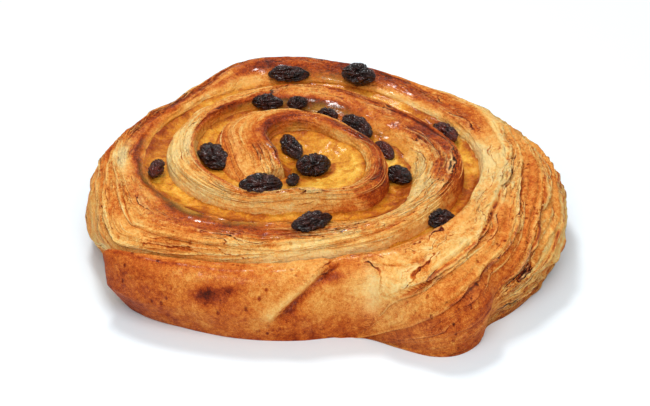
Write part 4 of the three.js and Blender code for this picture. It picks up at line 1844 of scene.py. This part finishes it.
@dataclass(frozen=True)
class Fruit:
    """Raisin skin: nearly black, or red-brown, wrinkled and glazed."""

    skin: Skin
    cloud: Cloud = Cloud(420.0, 4.0)
    speckle: Span = (800.0, 1.6)
    smudges: Cloud = Cloud(700.0)
    wrinkles: Cloud = Cloud(600.0, 3.0, 0.6, 0.8)

    def material(self) -> bpy.types.Material:
        """Wire the material.

        Returns:
            The new material.
        """
        plain = {"Specular IOR Level": 0.26, "Coat Weight": 0.4, "Coat Roughness": 0.07}
        material, w, shader = new_material(f"raisin_{self.skin.value}", plain)
        dark, light = SKIN_TONES[self.skin]
        space = w.space()
        grain, rise = w.speckle(space, *self.speckle)
        tone = w.math("ADD", w.noise(space, self.cloud), grain)
        w.feed(shader.inputs["Base Color"], w.ramp(tone, ((0.35, dark), (0.75, light))))
        w.feed(shader.inputs["Roughness"], w.span(w.noise(space, self.smudges), 0.3, 0.7, 0.12, 0.4))
        normal = w.relief(w.noise(space, self.wrinkles), 0.0014)
        w.feed(shader.inputs["Normal"], w.relief(rise, 0.0005, normal))
        return material


# ------------------------------------------------------------------------------------- the studio


@dataclass(frozen=True)
class Lamp:
    """A square soft light: its place and size in metres, and its power in watts."""

    name: str
    spot: tuple[float, float, float]
    size: float
    power: float


@dataclass
class Studio:
    """A plain pale floor, soft light from above, and the camera."""

    aim: tuple[float, float, float] = (-0.0003, -0.0043, 0.0132)
    elevation: float = 33.0
    distance: float = 0.640
    lens: float = 142.8
    floor_size: float = 4.0
    floor_colour: tuple[float, float, float, float] = (0.82, 0.9, 0.95, 1)
    sky: float = 0.4
    lamps: tuple[Lamp, ...] = (
        Lamp("overhead", (-0.11, 0.25, 0.62), 0.14, 2.1),
        Lamp("front", (0.03, -0.46, 0.62), 0.6, 4.2),
    )

    def build(self) -> None:
        """Make the floor, the lights and the camera."""
        self._floor()
        for lamp in self.lamps:
            self._hang(lamp)
        world = bpy.data.worlds.new("studio")
        world.use_nodes = True
        world.node_tree.nodes["Background"].inputs["Color"].default_value = (1, 1, 1, 1)
        world.node_tree.nodes["Background"].inputs["Strength"].default_value = self.sky
        bpy.context.scene.world = world
        bpy.context.scene.view_settings.view_transform = "Standard"
        self._camera()

    def _floor(self) -> None:
        """Lay a wide pale floor under the pastry."""
        bm = bmesh.new()
        bmesh.ops.create_grid(bm, x_segments=1, y_segments=1, size=self.floor_size)
        floor = finished(bm, "floor")
        plain = {"Base Color": self.floor_colour, "Roughness": 0.9, "Specular IOR Level": 0.1}
        floor.data.materials.append(new_material("floor", plain)[0])

    def _hang(self, lamp: Lamp) -> None:
        """Hang a light so that it faces the pastry.

        Args:
            lamp: The light.
        """
        light = bpy.data.lights.new(lamp.name, "AREA")
        light.size, light.energy = lamp.size, lamp.power
        holder = bpy.data.objects.new(lamp.name, light)
        holder.location = lamp.spot
        holder.rotation_euler = (Vector(self.aim) - Vector(lamp.spot)).to_track_quat("-Z", "Y").to_euler()
        bpy.context.scene.collection.objects.link(holder)

    def _camera(self) -> None:
        """Set the camera at the photograph's height and distance."""
        camera = bpy.data.objects.new("camera", bpy.data.cameras.new("camera"))
        tilt = math.radians(self.elevation)
        back = Vector((0, -math.cos(tilt), math.sin(tilt)))
        camera.location = Vector(self.aim) + back * self.distance
        camera.rotation_euler = (-back).to_track_quat("-Z", "Y").to_euler()
        camera.data.lens = self.lens
        camera.data.clip_end = 20.0
        bpy.context.scene.collection.objects.link(camera)
        bpy.context.scene.camera = camera


# ------------------------------------------------------------------------------------- assembly


def dress(piece: bpy.types.Object, node: str, material: bpy.types.Material) -> None:
    """Give a piece its material and say which node it stands for.

    Args:
        piece: The piece.
        node: The node that it replaces.
        material: Its material.
    """
    piece.data.materials.clear()
    piece.data.materials.append(material)
    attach(piece, "root")
    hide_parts(node)
    LOG.info("%s stands for %s with %d faces", piece.name, node, len(piece.data.polygons))


def shift_to_frame(dough: Dough) -> Array:
    """Find what brings the swirl's own millimetres onto the frame's dough.

    Args:
        dough: The dough.

    Returns:
        What is added to every point.
    """
    low, high = (np.array(corner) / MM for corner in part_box("dough"))
    points = dough.smooth.reshape(-1, 3)
    middle = (points.min(axis=0) + points.max(axis=0)) / 2
    return np.array([(low[0] + high[0]) / 2 - middle[0], (low[1] + high[1]) / 2 - middle[1], 0.0])


def main() -> None:
    """Build and dress the pastry, and set up the studio."""
    logging.basicConfig(level=logging.INFO, format="%(name)s: %(message)s")
    swirl = Swirl()
    dough = Dough(swirl)
    place = shift_to_frame(dough)
    LOG.info("rows %d, columns %d, shift %s", *dough.points.shape[:2], place.round(2))
    dress(dough.build(place), "dough", Crust().material())
    dress(Leaves(dough).build(place), "dough", bpy.data.materials["crust"])
    dress(Custard(swirl).build(place), "custard", Filling().material())
    raisins = Raisins()
    skins = {skin: Fruit(skin).material() for skin in Skin}
    for number, raisin in enumerate(raisins.kinds, start=1):
        dress(raisins.build(number), f"raisin_{number:02d}", skins[raisin.skin])
    Studio().build()


if __name__ == "__main__":
    main()
